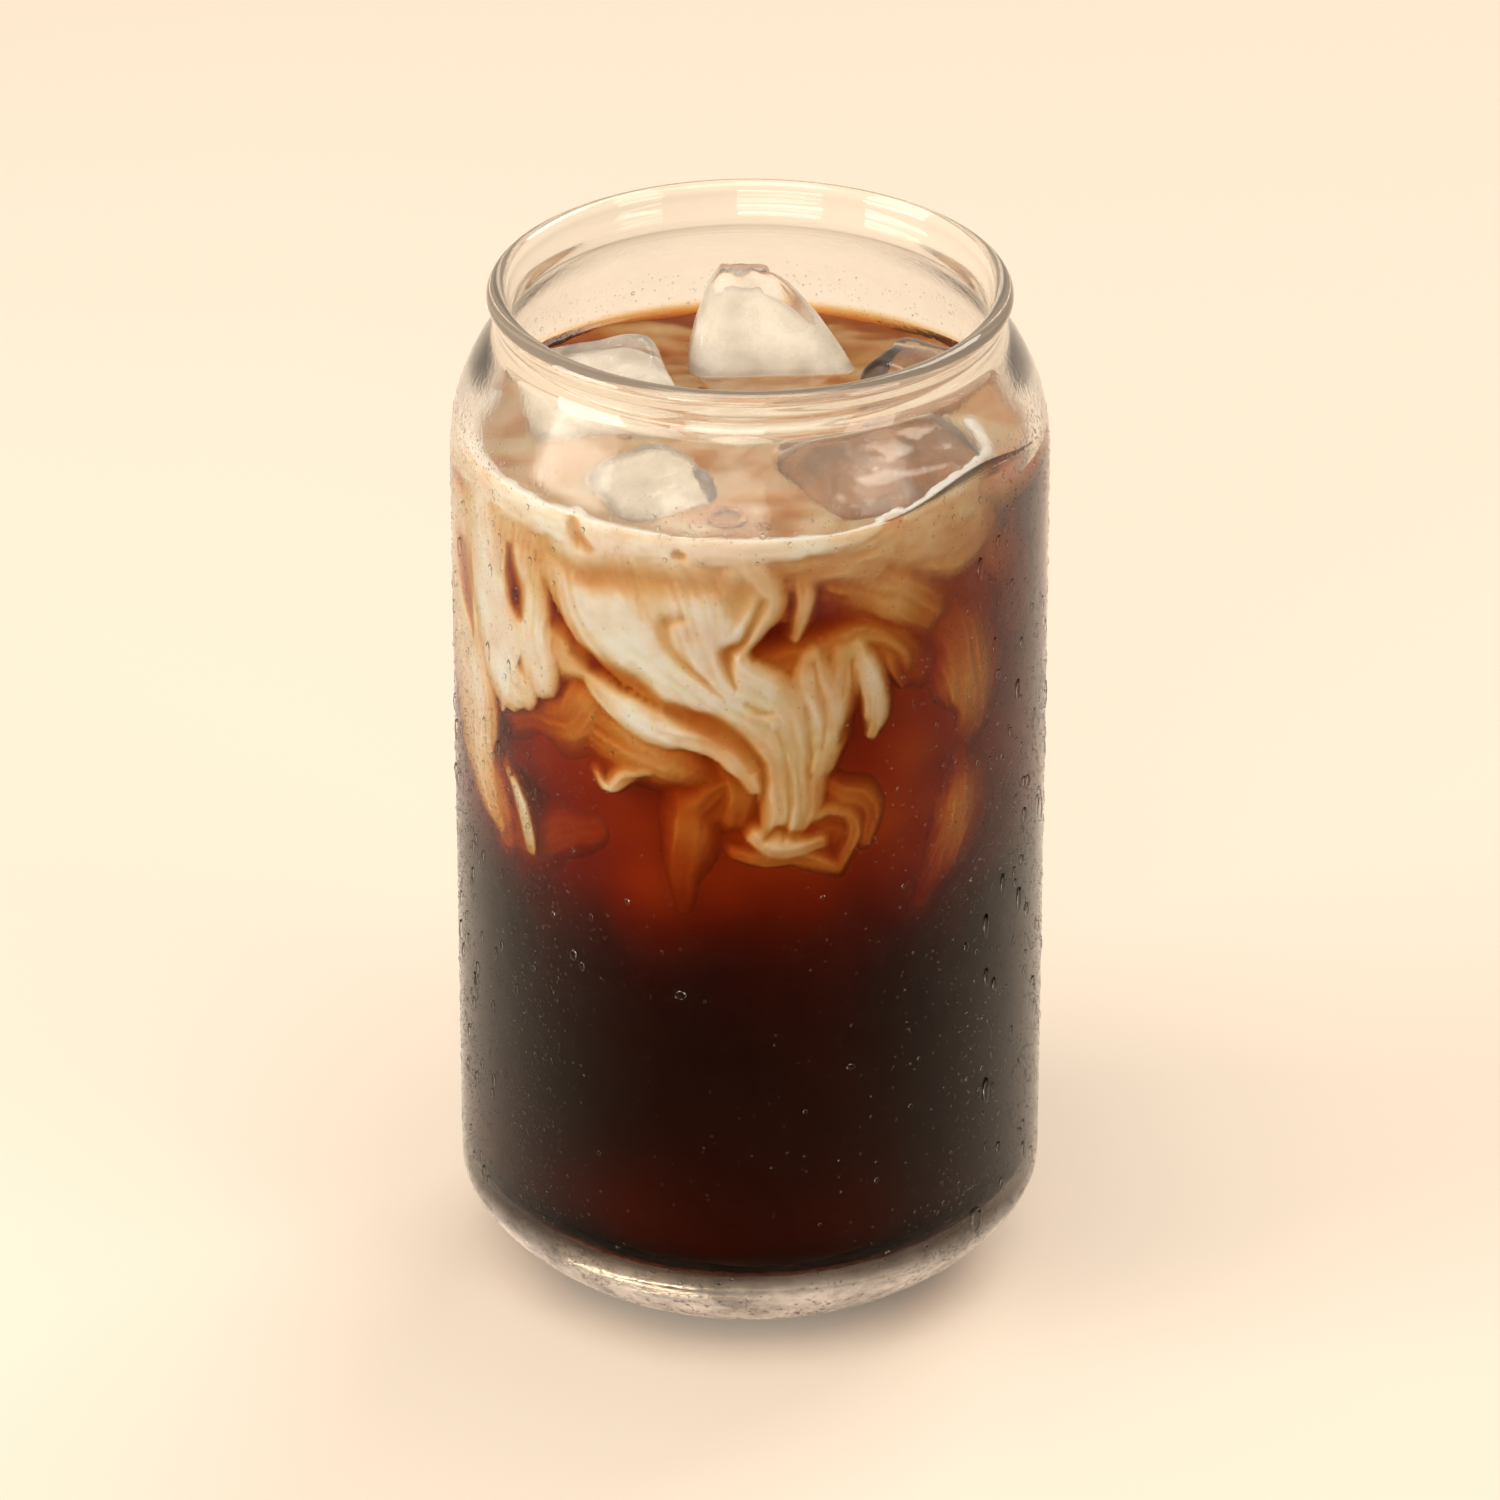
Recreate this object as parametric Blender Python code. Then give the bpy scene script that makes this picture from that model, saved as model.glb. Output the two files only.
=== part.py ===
"""Cold brew with cream in a can-shaped tumbler.

Sub-parts: the glass, the coffee, the cream that hangs in it and the ice that breaks the surface.
Metres, +Z up, the origin in the middle of the underside, the front of the drink towards -Y.
"""
import math
import random

import bmesh
import bpy
from mathutils import Euler, Matrix, Vector

MM = 0.001

# Glass: a straight body, a shoulder that draws in, a flared bead at the mouth
HEIGHT = 133.35 * MM            # 5.25 in, the usual height of a 16 oz can-shaped tumbler
BODY_RADIUS = 36.8 * MM
WALL = 2.1 * MM
SHOULDER_START = 110.0 * MM
NECK_HEIGHT = 129.2 * MM
NECK_RADIUS = 29.9 * MM
SHOULDER_POWER = 2.4
RIM_RADIUS = 32.1 * MM
BEAD_RADIUS = 1.3 * MM
FOOT_RADIUS = 21.5 * MM         # flat part of the underside
FOOT_CORNER = 12.0 * MM         # height where the outside corner ends
FOOT_POWER = 1.4
FLOOR = 6.2 * MM                # thickness of the heavy base
FLOOR_RADIUS = 20.5 * MM
FLOOR_CORNER = 12.0 * MM
FLOOR_POWER = 1.6
SEGMENTS = 60

# Contents
GAP = 0.3 * MM                  # kept between neighbouring solids
LEVEL = 114.5 * MM              # surface of the drink
LAYER = 4.0 * MM                # cream lying at the surface
LOBE_SIDES = 8
LOBE_STEPS = 2                  # rings between two stations of a plume

PLUME_TOP = 113                 # mm, where the copies of a plume are measured from

# Plumes of cream that hang down the wall from the layer at the surface.
# Each station: turn round the glass from the front in degrees, height, half width, depth, in mm.
PLUMES = {
    "main": [(-17, 112, 21, 7), (-18, 105, 15, 6.5), (-13, 98, 10.5, 6), (-4, 92, 9, 5.5),
             (4, 86, 7, 5), (8, 80, 5, 4), (10, 74, 4, 3)],
    "ear": [(6, 113, 8, 5), (14, 109.5, 6.5, 4.5), (20, 105.5, 3.5, 3.5), (20, 100.5, 1.5, 2)],
    "right": [(3, 88, 6, 5), (13, 95, 6, 5), (23, 98.5, 4, 4), (33, 96.5, 1.6, 2)],
    "finger": [(15, 97, 5, 4.5), (25, 94, 3.5, 4), (27, 86.5, 1.5, 2)],
    "lower_left": [(-39, 94, 1.6, 2), (-30, 93, 3.6, 3.5), (-18, 91, 4.2, 4), (-4, 87, 4.5, 4), (6, 82, 3.5, 3)],
    "tail": [(6, 77, 3.5, 3.5), (12, 74, 3, 3), (17, 74, 1.6, 2)],
    "curl": [(14, 82, 2.2, 2.5), (20, 79.5, 2, 2.2), (23.5, 75.5, 1.8, 2.2), (22, 70.5, 1.2, 1.6)],
    "left": [(-66, 113, 15, 6), (-66, 103, 12, 6), (-68, 93, 9, 5.5), (-73, 83, 5.5, 4.5),
             (-76, 74, 4, 3.5), (-68, 66, 2, 2)],
    "left_inner": [(-50, 112, 9, 5), (-49, 103, 7, 5), (-48, 95, 5, 4), (-52, 88, 2, 2)],
    "hook": [(-72, 80, 3, 3), (-60, 77, 1.5, 2), (-53.5, 73.5, 1.6, 2), (-51, 69.5, 1.6, 2), (-51, 65.5, 1.2, 1.6)],
}
# Copies of the larger plumes for the rest of the wall: which, turn, share of the width and of the fall
FAR_COPIES = {
    "back": (("main", "right", "left", "left_inner"), 180, 1.0, 0.85),
    "side": (("main",), -112, 0.55, 0.6),
}

# Ice that breaks the surface: centre, size and turn about X, Y and Z, in mm and degrees
ICE = {
    "ice_back": ((3.3, 20.3, 114.4), (22.5, 11.5, 21.0), (-30, 3, 2)),
    "ice_left": ((-18.6, 4.8, 108.2), (19.5, 21.0, 22.0), (4, -5, 12)),
    "ice_middle": ((-1.2, -3.2, 108.6), (8.5, 10.0, 17.5), (-6, 5, 38)),
    "ice_right": ((21.2, 8.2, 109.6), (14.5, 14.5, 19.0), (-5, 6, -24)),
    "ice_front_right": ((15.6, -13.9, 110.8), (22.5, 17.6, 15.0), (6, 4, 33)),
    "ice_front_left": ((-11.6, -18.2, 108.0), (13.5, 15.5, 16.5), (-7, -5, 30)),
}
ICE_PEAKS = {"ice_back": (-4.6, 0.45)}  # where a block narrows upwards: its peak across, in mm, and the share kept
ICE_ROUNDING = 2.6 * MM
ICE_UNEVEN = 0.7 * MM
ICE_SEED = 4
WELD = 0.002 * MM               # slivers that a Boolean leaves are closed up to this


def clear_scene():
    for item in list(bpy.data.objects):
        bpy.data.objects.remove(item, do_unlink=True)


def material(name, colour, roughness=0.5, transmission=0.0, ior=1.45):
    finish = bpy.data.materials.new(name)
    finish.use_nodes = True
    shader = finish.node_tree.nodes["Principled BSDF"]
    shader.inputs["Base Color"].default_value = (*colour, 1.0)
    shader.inputs["Roughness"].default_value = roughness
    shader.inputs["Metallic"].default_value = 0.0
    shader.inputs["Transmission Weight"].default_value = transmission
    shader.inputs["IOR"].default_value = ior
    finish.diffuse_color = (*colour, 1.0)
    return finish


def outer_radius(z):
    """Outside of the glass at a height."""
    if z < FOOT_CORNER:
        rise = 1 - z / FOOT_CORNER
        return FOOT_RADIUS + (BODY_RADIUS - FOOT_RADIUS) * (1 - rise ** FOOT_POWER) ** (1 / FOOT_POWER)
    if z < SHOULDER_START:
        return BODY_RADIUS
    draw = (z - SHOULDER_START) / (NECK_HEIGHT - SHOULDER_START)
    return BODY_RADIUS - (BODY_RADIUS - NECK_RADIUS) * min(draw, 1.0) ** SHOULDER_POWER


def inner_radius(z):
    """Inside of the glass at a height: the wall is measured square to the surface."""
    side = BODY_RADIUS - WALL
    if z < FLOOR + FLOOR_CORNER:
        rise = max(0.0, 1 - (z - FLOOR) / FLOOR_CORNER)
        return FLOOR_RADIUS + (side - FLOOR_RADIUS) * (1 - rise ** FLOOR_POWER) ** (1 / FLOOR_POWER)
    slope = (outer_radius(z + 0.1 * MM) - outer_radius(z)) / (0.1 * MM)
    return outer_radius(z) - WALL * math.sqrt(1 + slope * slope)


def spaced(low, high, steps):
    return [low + (high - low) * step / steps for step in range(steps + 1)]


def corner_heights(low, height, steps):
    """Heights up a corner, closer together near its flat end."""
    return [low + height * (1 - math.cos(0.5 * math.pi * step / steps)) for step in range(steps + 1)]


def turned(name, profile, finish=None):
    """Spin a profile of (radius, height) that starts and ends on the axis; it is closed at both poles."""
    mesh_data = bmesh.new()
    rim = [mesh_data.verts.new((radius, 0, height)) for radius, height in profile]
    edges = [mesh_data.edges.new(pair) for pair in zip(rim, rim[1:])]
    bmesh.ops.spin(mesh_data, geom=rim + edges, cent=(0, 0, 0), axis=(0, 0, 1), angle=2 * math.pi,
                   steps=SEGMENTS, use_merge=True)
    bmesh.ops.remove_doubles(mesh_data, verts=mesh_data.verts, dist=0.001 * MM)
    bmesh.ops.recalc_face_normals(mesh_data, faces=mesh_data.faces)
    return finish_object(name, mesh_data, finish)


def finish_object(name, mesh_data, finish=None):
    mesh = bpy.data.meshes.new(name)
    mesh_data.to_mesh(mesh)
    mesh_data.free()
    if finish:
        mesh.materials.append(finish)
    made = bpy.data.objects.new(name, mesh)
    bpy.context.scene.collection.objects.link(made)
    return made


def glass(finish):
    outside = [(outer_radius(z), z) for z in corner_heights(0, FOOT_CORNER, 7)]
    outside += [(outer_radius(z), z) for z in spaced(SHOULDER_START, NECK_HEIGHT, 7)]
    bead_centre = (RIM_RADIUS - BEAD_RADIUS, HEIGHT - BEAD_RADIUS)
    bead = [(bead_centre[0] + BEAD_RADIUS * math.cos(math.radians(turn)),
             bead_centre[1] + BEAD_RADIUS * math.sin(math.radians(turn)))
            for turn in range(-60, 181, 30)]
    inside = [(inner_radius(z), z) for z in spaced(NECK_HEIGHT - 0.4 * MM, SHOULDER_START, 6)]
    inside += [(inner_radius(z), z) for z in reversed(corner_heights(FLOOR, FLOOR_CORNER, 6))]
    profile = [(0, 0)] + outside + bead + inside + [(0, FLOOR)]
    return turned("glass", profile, finish)


def lining(name, low, high, inset):
    """A solid of the glass's inside, from one height to another, kept clear of the wall."""
    heights = [z + inset for z in corner_heights(FLOOR, FLOOR_CORNER, 5)] if low <= FLOOR + inset else [low]
    straight = [SHOULDER_START] if high > SHOULDER_START else []
    heights += straight + spaced(max(heights[-1], straight[-1] if straight else low), high, 2)[1:]
    side = [(inner_radius(z - inset if z < FLOOR + FLOOR_CORNER + inset else z) - inset, z) for z in heights]
    return turned(name, [(0, side[0][1])] + side + [(0, side[-1][1])])


def wall_point(turn, height, depth):
    """A point near the wall, by its turn from the front in degrees and its depth in from the wall."""
    radius = inner_radius(height) - depth
    angle = math.radians(turn)
    return Vector((radius * math.sin(angle), -radius * math.cos(angle), height))


def smooth_stations(stations):
    """Catmull-Rom points through the stations of a plume."""
    points = [Vector(station) for station in stations]
    ends = [2 * points[0] - points[1]] + points + [2 * points[-1] - points[-2]]
    path = []
    for a, b, c, d in zip(ends, ends[1:], ends[2:], ends[3:]):
        for step in range(LOBE_STEPS):
            t = step / LOBE_STEPS
            path.append(0.5 * (2 * b + (c - a) * t + (2 * a - 5 * b + 4 * c - d) * t * t
                               + (3 * b - a - 3 * c + d) * t ** 3))
    return path + [points[-1]]


def plume(name, stations, grow=0.0):
    """A flattened tapering strand that follows the wall and ends round."""
    path = smooth_stations(stations)
    reach = math.radians(1) * (BODY_RADIUS - WALL) / MM
    first, last = path[0], path[-1]
    along = Vector(((last[0] - first[0]) * reach, last[1] - first[1])).normalized()
    across = Vector((along[1], -along[0]))      # one direction for every ring, so that no two cross
    mesh_data = bmesh.new()
    rings = []
    for index, station in enumerate(path):
        turn, height, half_width, depth = station
        half_width, depth = half_width * MM + 1.6 * grow, depth * MM + 1.6 * grow
        end = {0: -1, len(path) - 1: 1}.get(index, 0) * 2 * grow
        ring = []
        for side in range(LOBE_SIDES):
            spoke = 2 * math.pi * side / LOBE_SIDES
            shift = across * half_width * math.cos(spoke) + along * end
            point_turn = turn + math.degrees(shift[0] / (BODY_RADIUS - WALL))
            ring.append(mesh_data.verts.new(wall_point(point_turn, height * MM + shift[1],
                                                       depth * math.sin(spoke))))
        rings.append(ring)
    for ring, following in zip(rings, rings[1:]):
        for side in range(LOBE_SIDES):
            other = (side + 1) % LOBE_SIDES
            mesh_data.faces.new((ring[side], ring[other], following[other], following[side]))
    for ring in (rings[0], rings[-1]):
        mesh_data.faces.new(ring)
    bmesh.ops.triangulate(mesh_data, faces=mesh_data.faces)
    bmesh.ops.recalc_face_normals(mesh_data, faces=mesh_data.faces)
    return finish_object(name, mesh_data)


def all_plumes():
    """The plumes in front, and smaller copies of them turned round to the other sides."""
    made = dict(PLUMES)
    for place, (keys, turn, breadth, fall) in FAR_COPIES.items():
        for key in keys:
            made[f"{place}_{key}"] = [
                (turn + angle * breadth, PLUME_TOP - (PLUME_TOP - height) * fall, half_width * breadth, depth)
                for angle, height, half_width, depth in PLUMES[key]]
    return made


def ice_block(name, grow=0.0, finish=None):
    """A block of ice with soft edges and uneven corners."""
    (x, y, z), size, turns = ICE[name]
    draw = random.Random(ICE_SEED + sorted(ICE).index(name))
    mesh_data = bmesh.new()
    bmesh.ops.create_cube(mesh_data, size=1.0)
    bmesh.ops.scale(mesh_data, verts=mesh_data.verts, vec=Vector(size) * MM)
    peak, kept = ICE_PEAKS.get(name, (0.0, 1.0))
    for corner in mesh_data.verts:
        if corner.co.z > 0:
            corner.co.x = peak * MM + (corner.co.x - peak * MM) * kept
        corner.co += Vector([draw.uniform(-ICE_UNEVEN, ICE_UNEVEN) for _ in range(3)])
    bmesh.ops.bevel(mesh_data, geom=mesh_data.verts[:] + mesh_data.edges[:], offset=ICE_ROUNDING,
                    affect="EDGES", segments=3, profile=0.5, material=-1, clamp_overlap=True)
    bmesh.ops.triangulate(mesh_data, faces=mesh_data.faces)
    mesh_data.normal_update()
    if grow:
        shifts = [(corner, corner.normal.copy()) for corner in mesh_data.verts]
        for corner, normal in shifts:
            corner.co += normal * grow
    place = Matrix.Translation(Vector((x, y, z)) * MM)
    turn = Euler([math.radians(angle) for angle in turns]).to_matrix().to_4x4()
    bmesh.ops.transform(mesh_data, matrix=place @ turn, verts=mesh_data.verts)
    return finish_object(name if not grow else name + "_pocket", mesh_data, finish)


def boolean(target, tools, operation):
    """Apply one Boolean with a collection of solids, then remove them."""
    group = bpy.data.collections.new(target.name + "_tools")
    bpy.context.scene.collection.children.link(group)
    for tool in tools:
        group.objects.link(tool)
    step = target.modifiers.new(operation.title(), "BOOLEAN")
    step.operation = operation
    step.operand_type = "COLLECTION"
    step.collection = group
    step.solver = "MANIFOLD"
    result = bpy.data.meshes.new_from_object(target.evaluated_get(bpy.context.evaluated_depsgraph_get()))
    target.modifiers.clear()
    result.name = target.data.name
    target.data = result
    for tool in tools:
        bpy.data.objects.remove(tool, do_unlink=True)
    bpy.data.collections.remove(group)


def cream_shape(name, grow=0.0):
    """The layer at the surface and every plume, fused into one body."""
    layer = turned(name, [(0, LEVEL - LAYER - grow), (BODY_RADIUS, LEVEL - LAYER - grow),
                          (BODY_RADIUS, LEVEL + 3 * grow), (0, LEVEL + 3 * grow)])
    strands = all_plumes()
    boolean(layer, [plume(f"{name}_{key}", stations, grow) for key, stations in strands.items()], "UNION")
    return layer


def clean(made):
    """Weld the slivers that a Boolean leaves and keep the one solid body."""
    mesh_data = bmesh.new()
    mesh_data.from_mesh(made.data)
    bmesh.ops.remove_doubles(mesh_data, verts=mesh_data.verts, dist=WELD)
    bmesh.ops.triangulate(mesh_data, faces=mesh_data.faces)
    open_edges = [edge for edge in mesh_data.edges if len(edge.link_faces) != 2]
    print(made.name, "open edges:", len(open_edges))
    groups, seen = [], set()
    for start in mesh_data.faces:
        if start in seen:
            continue
        group, queue = [], [start]
        seen.add(start)
        while queue:
            face = queue.pop()
            group.append(face)
            for edge in face.edges:
                for other in edge.link_faces:
                    if other not in seen:
                        seen.add(other)
                        queue.append(other)
        groups.append(group)
    groups.sort(key=len, reverse=True)
    for group in groups[1:]:
        bmesh.ops.delete(mesh_data, geom=group, context="FACES")
    print(made.name, "bodies:", len(groups), "triangles:", len(groups[0]))
    mesh_data.to_mesh(made.data)
    mesh_data.free()


def pockets():
    return [ice_block(name, 1.3 * GAP) for name in ICE]


def build():
    clear_scene()
    clear_glass = material("clear_glass", (0.93, 0.93, 0.90), 0.02, 1.0, 1.52)
    cold_brew = material("cold_brew", (0.035, 0.012, 0.005), 0.05, 0.0, 1.33)
    cream_finish = material("cream", (0.80, 0.62, 0.42), 0.35)
    frozen_water = material("ice", (0.90, 0.80, 0.68), 0.05, 0.8, 1.31)

    glass(clear_glass)

    cream = cream_shape("cream")
    boolean(cream, [lining("cream_trim", FLOOR + 20 * MM, LEVEL, GAP)], "INTERSECT")
    boolean(cream, pockets(), "DIFFERENCE")
    cream.data.materials.clear()
    cream.data.materials.append(cream_finish)
    clean(cream)

    coffee = lining("coffee", FLOOR, LEVEL - 1 * MM, GAP)
    boolean(coffee, [cream_shape("cream_room", GAP)] + pockets(), "DIFFERENCE")
    coffee.data.materials.clear()
    coffee.data.materials.append(cold_brew)
    clean(coffee)

    for name in ICE:
        ice_block(name, 0.0, frozen_water)

    for made in bpy.context.scene.objects:
        for face in made.data.polygons:
            face.material_index = 0
        made.data.shade_smooth()
        made.data.set_sharp_from_angle(angle=math.radians(35))


build()
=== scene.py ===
# %% [markdown]
# # Cold brew with cream in a can-shaped tumbler
#
# The drink is built from the outside in: a turned glass, the coffee that fills it, ice, cream that
# sinks in plumes against the wall, and the water that condenses on the cold glass. The colours of the
# drink aren't painted, save a painted highlight at the left front of the surface, where the cream is
# raised to show whiter. Cream is one pale material, and the coffee in front of it swallows blue first,
# then green, then red, so cream turns caramel, orange and brown as it sinks away from the wall.

# %% Frame and sizes
import math
import random

import bmesh
import bpy
import numpy as np
from mathutils import Euler, Matrix, Vector, noise


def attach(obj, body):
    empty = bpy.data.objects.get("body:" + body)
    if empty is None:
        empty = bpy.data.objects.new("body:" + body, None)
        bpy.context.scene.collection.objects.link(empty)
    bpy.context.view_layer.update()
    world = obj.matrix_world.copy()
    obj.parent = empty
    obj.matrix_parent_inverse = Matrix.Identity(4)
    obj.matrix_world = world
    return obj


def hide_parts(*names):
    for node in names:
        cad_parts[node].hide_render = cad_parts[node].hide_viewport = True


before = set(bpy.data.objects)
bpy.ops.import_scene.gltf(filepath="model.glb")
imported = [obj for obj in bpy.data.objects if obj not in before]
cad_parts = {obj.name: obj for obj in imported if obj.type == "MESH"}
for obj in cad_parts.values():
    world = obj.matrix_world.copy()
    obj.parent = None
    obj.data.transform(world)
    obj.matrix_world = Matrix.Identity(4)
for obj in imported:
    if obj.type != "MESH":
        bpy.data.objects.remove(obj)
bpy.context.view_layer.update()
MM = 0.001
HEIGHT = 133.35 * MM
BODY_RADIUS = 36.8 * MM
WALL = 2.1 * MM
SHOULDER_START, NECK_HEIGHT = 110.0 * MM, 129.2 * MM
NECK_RADIUS, RIM_RADIUS, BEAD_RADIUS = 29.9 * MM, 32.1 * MM, 1.3 * MM
SHOULDER_POWER = 2.4
FOOT_RADIUS, FOOT_CORNER, FOOT_POWER = 21.5 * MM, 12.0 * MM, 1.4     # power: 2 would be a quarter circle
FLOOR, FLOOR_RADIUS, FLOOR_CORNER, FLOOR_POWER = 6.2 * MM, 20.5 * MM, 12.0 * MM, 1.6
LEVEL = 114.5 * MM              # the surface of the drink
INSIDE = BODY_RADIUS - WALL
OVERLAP = 0.04 * MM             # how far the drink reaches into the wall

# %% [markdown]
# ## Helpers for materials
# A material is a tree of nodes. One helper adds a node with its settings and links, whatever its kind,
# so a material reads as a list. Colours are given as the hex values that a screen shows, and one
# function turns them to the linear numbers that light is reckoned in. Clear things need one more step:
# a renderer gives glass a black shadow unless its light paths are found, so lamps are let through.

# %% Helpers for materials
def linear(hex_colour):
    """An sRGB hex colour as linear RGBA."""
    channels = [int(hex_colour[i:i + 2], 16) / 255 for i in (1, 3, 5)]
    return tuple(c / 12.92 if c <= 0.04045 else ((c + 0.055) / 1.055) ** 2.4 for c in channels) + (1.0,)


def add(tree, kind, settings=None, **sockets):
    """Add a node. Settings are properties; sockets are values, or nodes or output sockets to link from."""
    node = tree.nodes.new("ShaderNode" + kind)
    for key, value in (settings or {}).items():
        setattr(node, key, value)
    for key, value in sockets.items():
        numbered = key[0] == "i" and key[1:].isdigit()
        socket = node.inputs[int(key[1:])] if numbered else node.inputs[key.replace("_", " ")]
        if isinstance(value, (bpy.types.Node, bpy.types.NodeSocket)):
            tree.links.new(getattr(value, "outputs", [value])[0], socket)
        else:
            socket.default_value = value
    return node


def new_material(name):
    made = bpy.data.materials.new(name)
    made.use_nodes = True
    made.node_tree.nodes.clear()
    return made, made.node_tree


def lets_lamps_through(tree, surface):
    """Clear things cast almost no shadow: for shadow rays the surface is plain transparent."""
    path = add(tree, "LightPath")
    clear = add(tree, "BsdfTransparent")
    return add(tree, "MixShader", Fac=path.outputs["Is Shadow Ray"], i1=surface, i2=clear)


print("mid grey is", [round(channel, 3) for channel in linear("#808080")[:3]], "as light")

# %% [markdown]
# ## Helpers for pieces
# Glass, coffee and bubbles' collars are turned: one outline is spun round the axis. The spin merges its
# last copy with its first, the doubles on the axis are merged, and only then do the normals point
# outwards for certain. Every finished piece rides on the one body.

# %% Helpers for pieces
def to_object(name, mesh_data, *materials):
    mesh = bpy.data.meshes.new(name)
    mesh_data.to_mesh(mesh)
    mesh_data.free()
    for finish in materials:
        mesh.materials.append(finish)
    mesh.shade_smooth()
    made = bpy.data.objects.new(name, mesh)
    bpy.context.scene.collection.objects.link(made)
    return made


def turned(profile, steps):
    """Spin a profile of (radius, height) round the axis into a closed bmesh."""
    mesh_data = bmesh.new()
    line = [mesh_data.verts.new((radius, 0, height)) for radius, height in profile]
    edges = [mesh_data.edges.new(pair) for pair in zip(line, line[1:])]
    bmesh.ops.spin(mesh_data, geom=line + edges, cent=(0, 0, 0), axis=(0, 0, 1), angle=2 * math.pi,
                   steps=steps, use_merge=True)
    bmesh.ops.remove_doubles(mesh_data, verts=mesh_data.verts, dist=0.002 * MM)
    bmesh.ops.recalc_face_normals(mesh_data, faces=mesh_data.faces)
    return mesh_data


def keep_piece(piece, slot, *nodes):
    """Every piece rides on the one body and may stand for CAD nodes, which it hides. The slot is not used."""
    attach(piece, "root")
    if nodes:
        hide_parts(*nodes)
    print(piece.name, len(piece.data.polygons), "faces")


def smoothstep(low, high, value):
    share = np.clip((value - low) / (high - low), 0, 1)
    return share * share * (3 - 2 * share)


def ripple(x, y, z=0.0):
    """Smooth noise from -1 to 1."""
    return noise.noise(Vector((x, y, z)))


print("noise runs from", round(ripple(0.4, 0.2), 2), "to", round(ripple(1.6, 0.7), 2), "between two places")

# %% [markdown]
# ## Glass
# The real one is soda-lime glass, pressed or blown in a mould, so it has a heavy base, a soft inside
# corner and a mouth rounded by fire. It could be a thickened cylinder, but base and mouth need outlines
# of their own, so one line runs up the outside, over the bead of the mouth and down the inside, and is
# spun. The corners of the foot and the floor are curves between a circle and a straight slope.

# %% Glass outline
def outer_radius(z):
    if z < FOOT_CORNER:
        rise = 1 - z / FOOT_CORNER
        return FOOT_RADIUS + (BODY_RADIUS - FOOT_RADIUS) * (1 - rise ** FOOT_POWER) ** (1 / FOOT_POWER)
    if z < SHOULDER_START:
        return BODY_RADIUS
    draw = (z - SHOULDER_START) / (NECK_HEIGHT - SHOULDER_START)
    return BODY_RADIUS - (BODY_RADIUS - NECK_RADIUS) * min(draw, 1.0) ** SHOULDER_POWER


def inner_radius(z):
    if z < FLOOR + FLOOR_CORNER:
        rise = max(0.0, 1 - max(z - FLOOR, 0) / FLOOR_CORNER)
        return FLOOR_RADIUS + (INSIDE - FLOOR_RADIUS) * (1 - rise ** FLOOR_POWER) ** (1 / FLOOR_POWER)
    slope = (outer_radius(z + 0.1 * MM) - outer_radius(z)) / (0.1 * MM)
    return outer_radius(z) - WALL * math.sqrt(1 + slope * slope)


def spaced(low, high, steps):
    return [low + (high - low) * step / steps for step in range(steps + 1)]


def corner_heights(low, height, steps):
    return [low + height * (1 - math.cos(0.5 * math.pi * step / steps)) for step in range(steps + 1)]


GLASS_STEPS = 168
UNDER_BEAD = ((31.32, 127.6), (31.1, 128.2), (30.99, 128.8), (31.0, 129.4), (31.12, 130.0), (31.34, 130.6),
              (31.62, 131.1), (31.87, 131.5), (32.04, 131.8))       # radius and height in mm
outside = [(outer_radius(z), z) for z in corner_heights(0, FOOT_CORNER, 18) + spaced(14 * MM, 108 * MM, 12)]
outside += [(outer_radius(z), z) for z in spaced(SHOULDER_START, 126.9 * MM, 20)]
outside += [(radius * MM, z * MM) for radius, z in UNDER_BEAD]
bead = [(RIM_RADIUS - BEAD_RADIUS * (1 - math.cos(math.radians(turn))),
         HEIGHT - BEAD_RADIUS * (1 - math.sin(math.radians(turn)))) for turn in range(0, 186, 12)]
lip = [(29.33 * MM, 131.3 * MM), (29.15 * MM, 130.4 * MM), (28.98 * MM, 129.5 * MM)]
THINNING = 0.75 * MM            # how much thinner the wall is drawn towards the neck


def neck_radius(z):
    """Inside radius under the mouth."""
    share = float(smoothstep(120 * MM, 129 * MM, z))
    return inner_radius(z) + THINNING * share * (outer_radius(z) - inner_radius(z)) / WALL


inside = lip + [(neck_radius(z), z) for z in spaced(128.6 * MM, SHOULDER_START, 24)]
inside += [(inner_radius(z), z) for z in spaced(108 * MM, 22 * MM, 12)]
inside += [(inner_radius(z), z) for z in reversed(corner_heights(FLOOR, FLOOR_CORNER, 16))]
print(len(outside + bead + inside), "points in the outline of the glass")

# %% [markdown]
# ## Finish of the glass
# Light bends by the ratio of the two materials it passes between: 1.52 against air, but only 1.52 / 1.33
# where the inside is wet. Giving the wet part its own index keeps the drink from looking as if it had an
# air gap round it. A cold glass fogs: beads too fine to model dull the shoulder and whiten the foot, so
# there the surface is a little rough and bumpy, and a share of it, in patches, is plain white water fog.

# %% Glass materials
WATER_IOR, GLASS_IOR, ICE_IOR = 1.33, 1.52, 1.31
FINE_BEADS, FOG_PATCHES = 0.9 * MM, 6.5 * MM
# What changes with height: from and to in mm, and its value at each end
FOGGED = {
    "shoulder_haze": (107, 116, 0.02, 0.10),    # roughness
    "foot_haze": (15, 8, 0.0, 0.16),            # roughness
    "foot_fog": (15, 9, 0.0, 0.64),             # share of white fog
    "underside": (1.6, 4.4, 0.08, 1.0),         # the lowest edge stays nearly clear
    "neck_fog": (104, 118, 0.0, 0.08),
}


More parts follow.
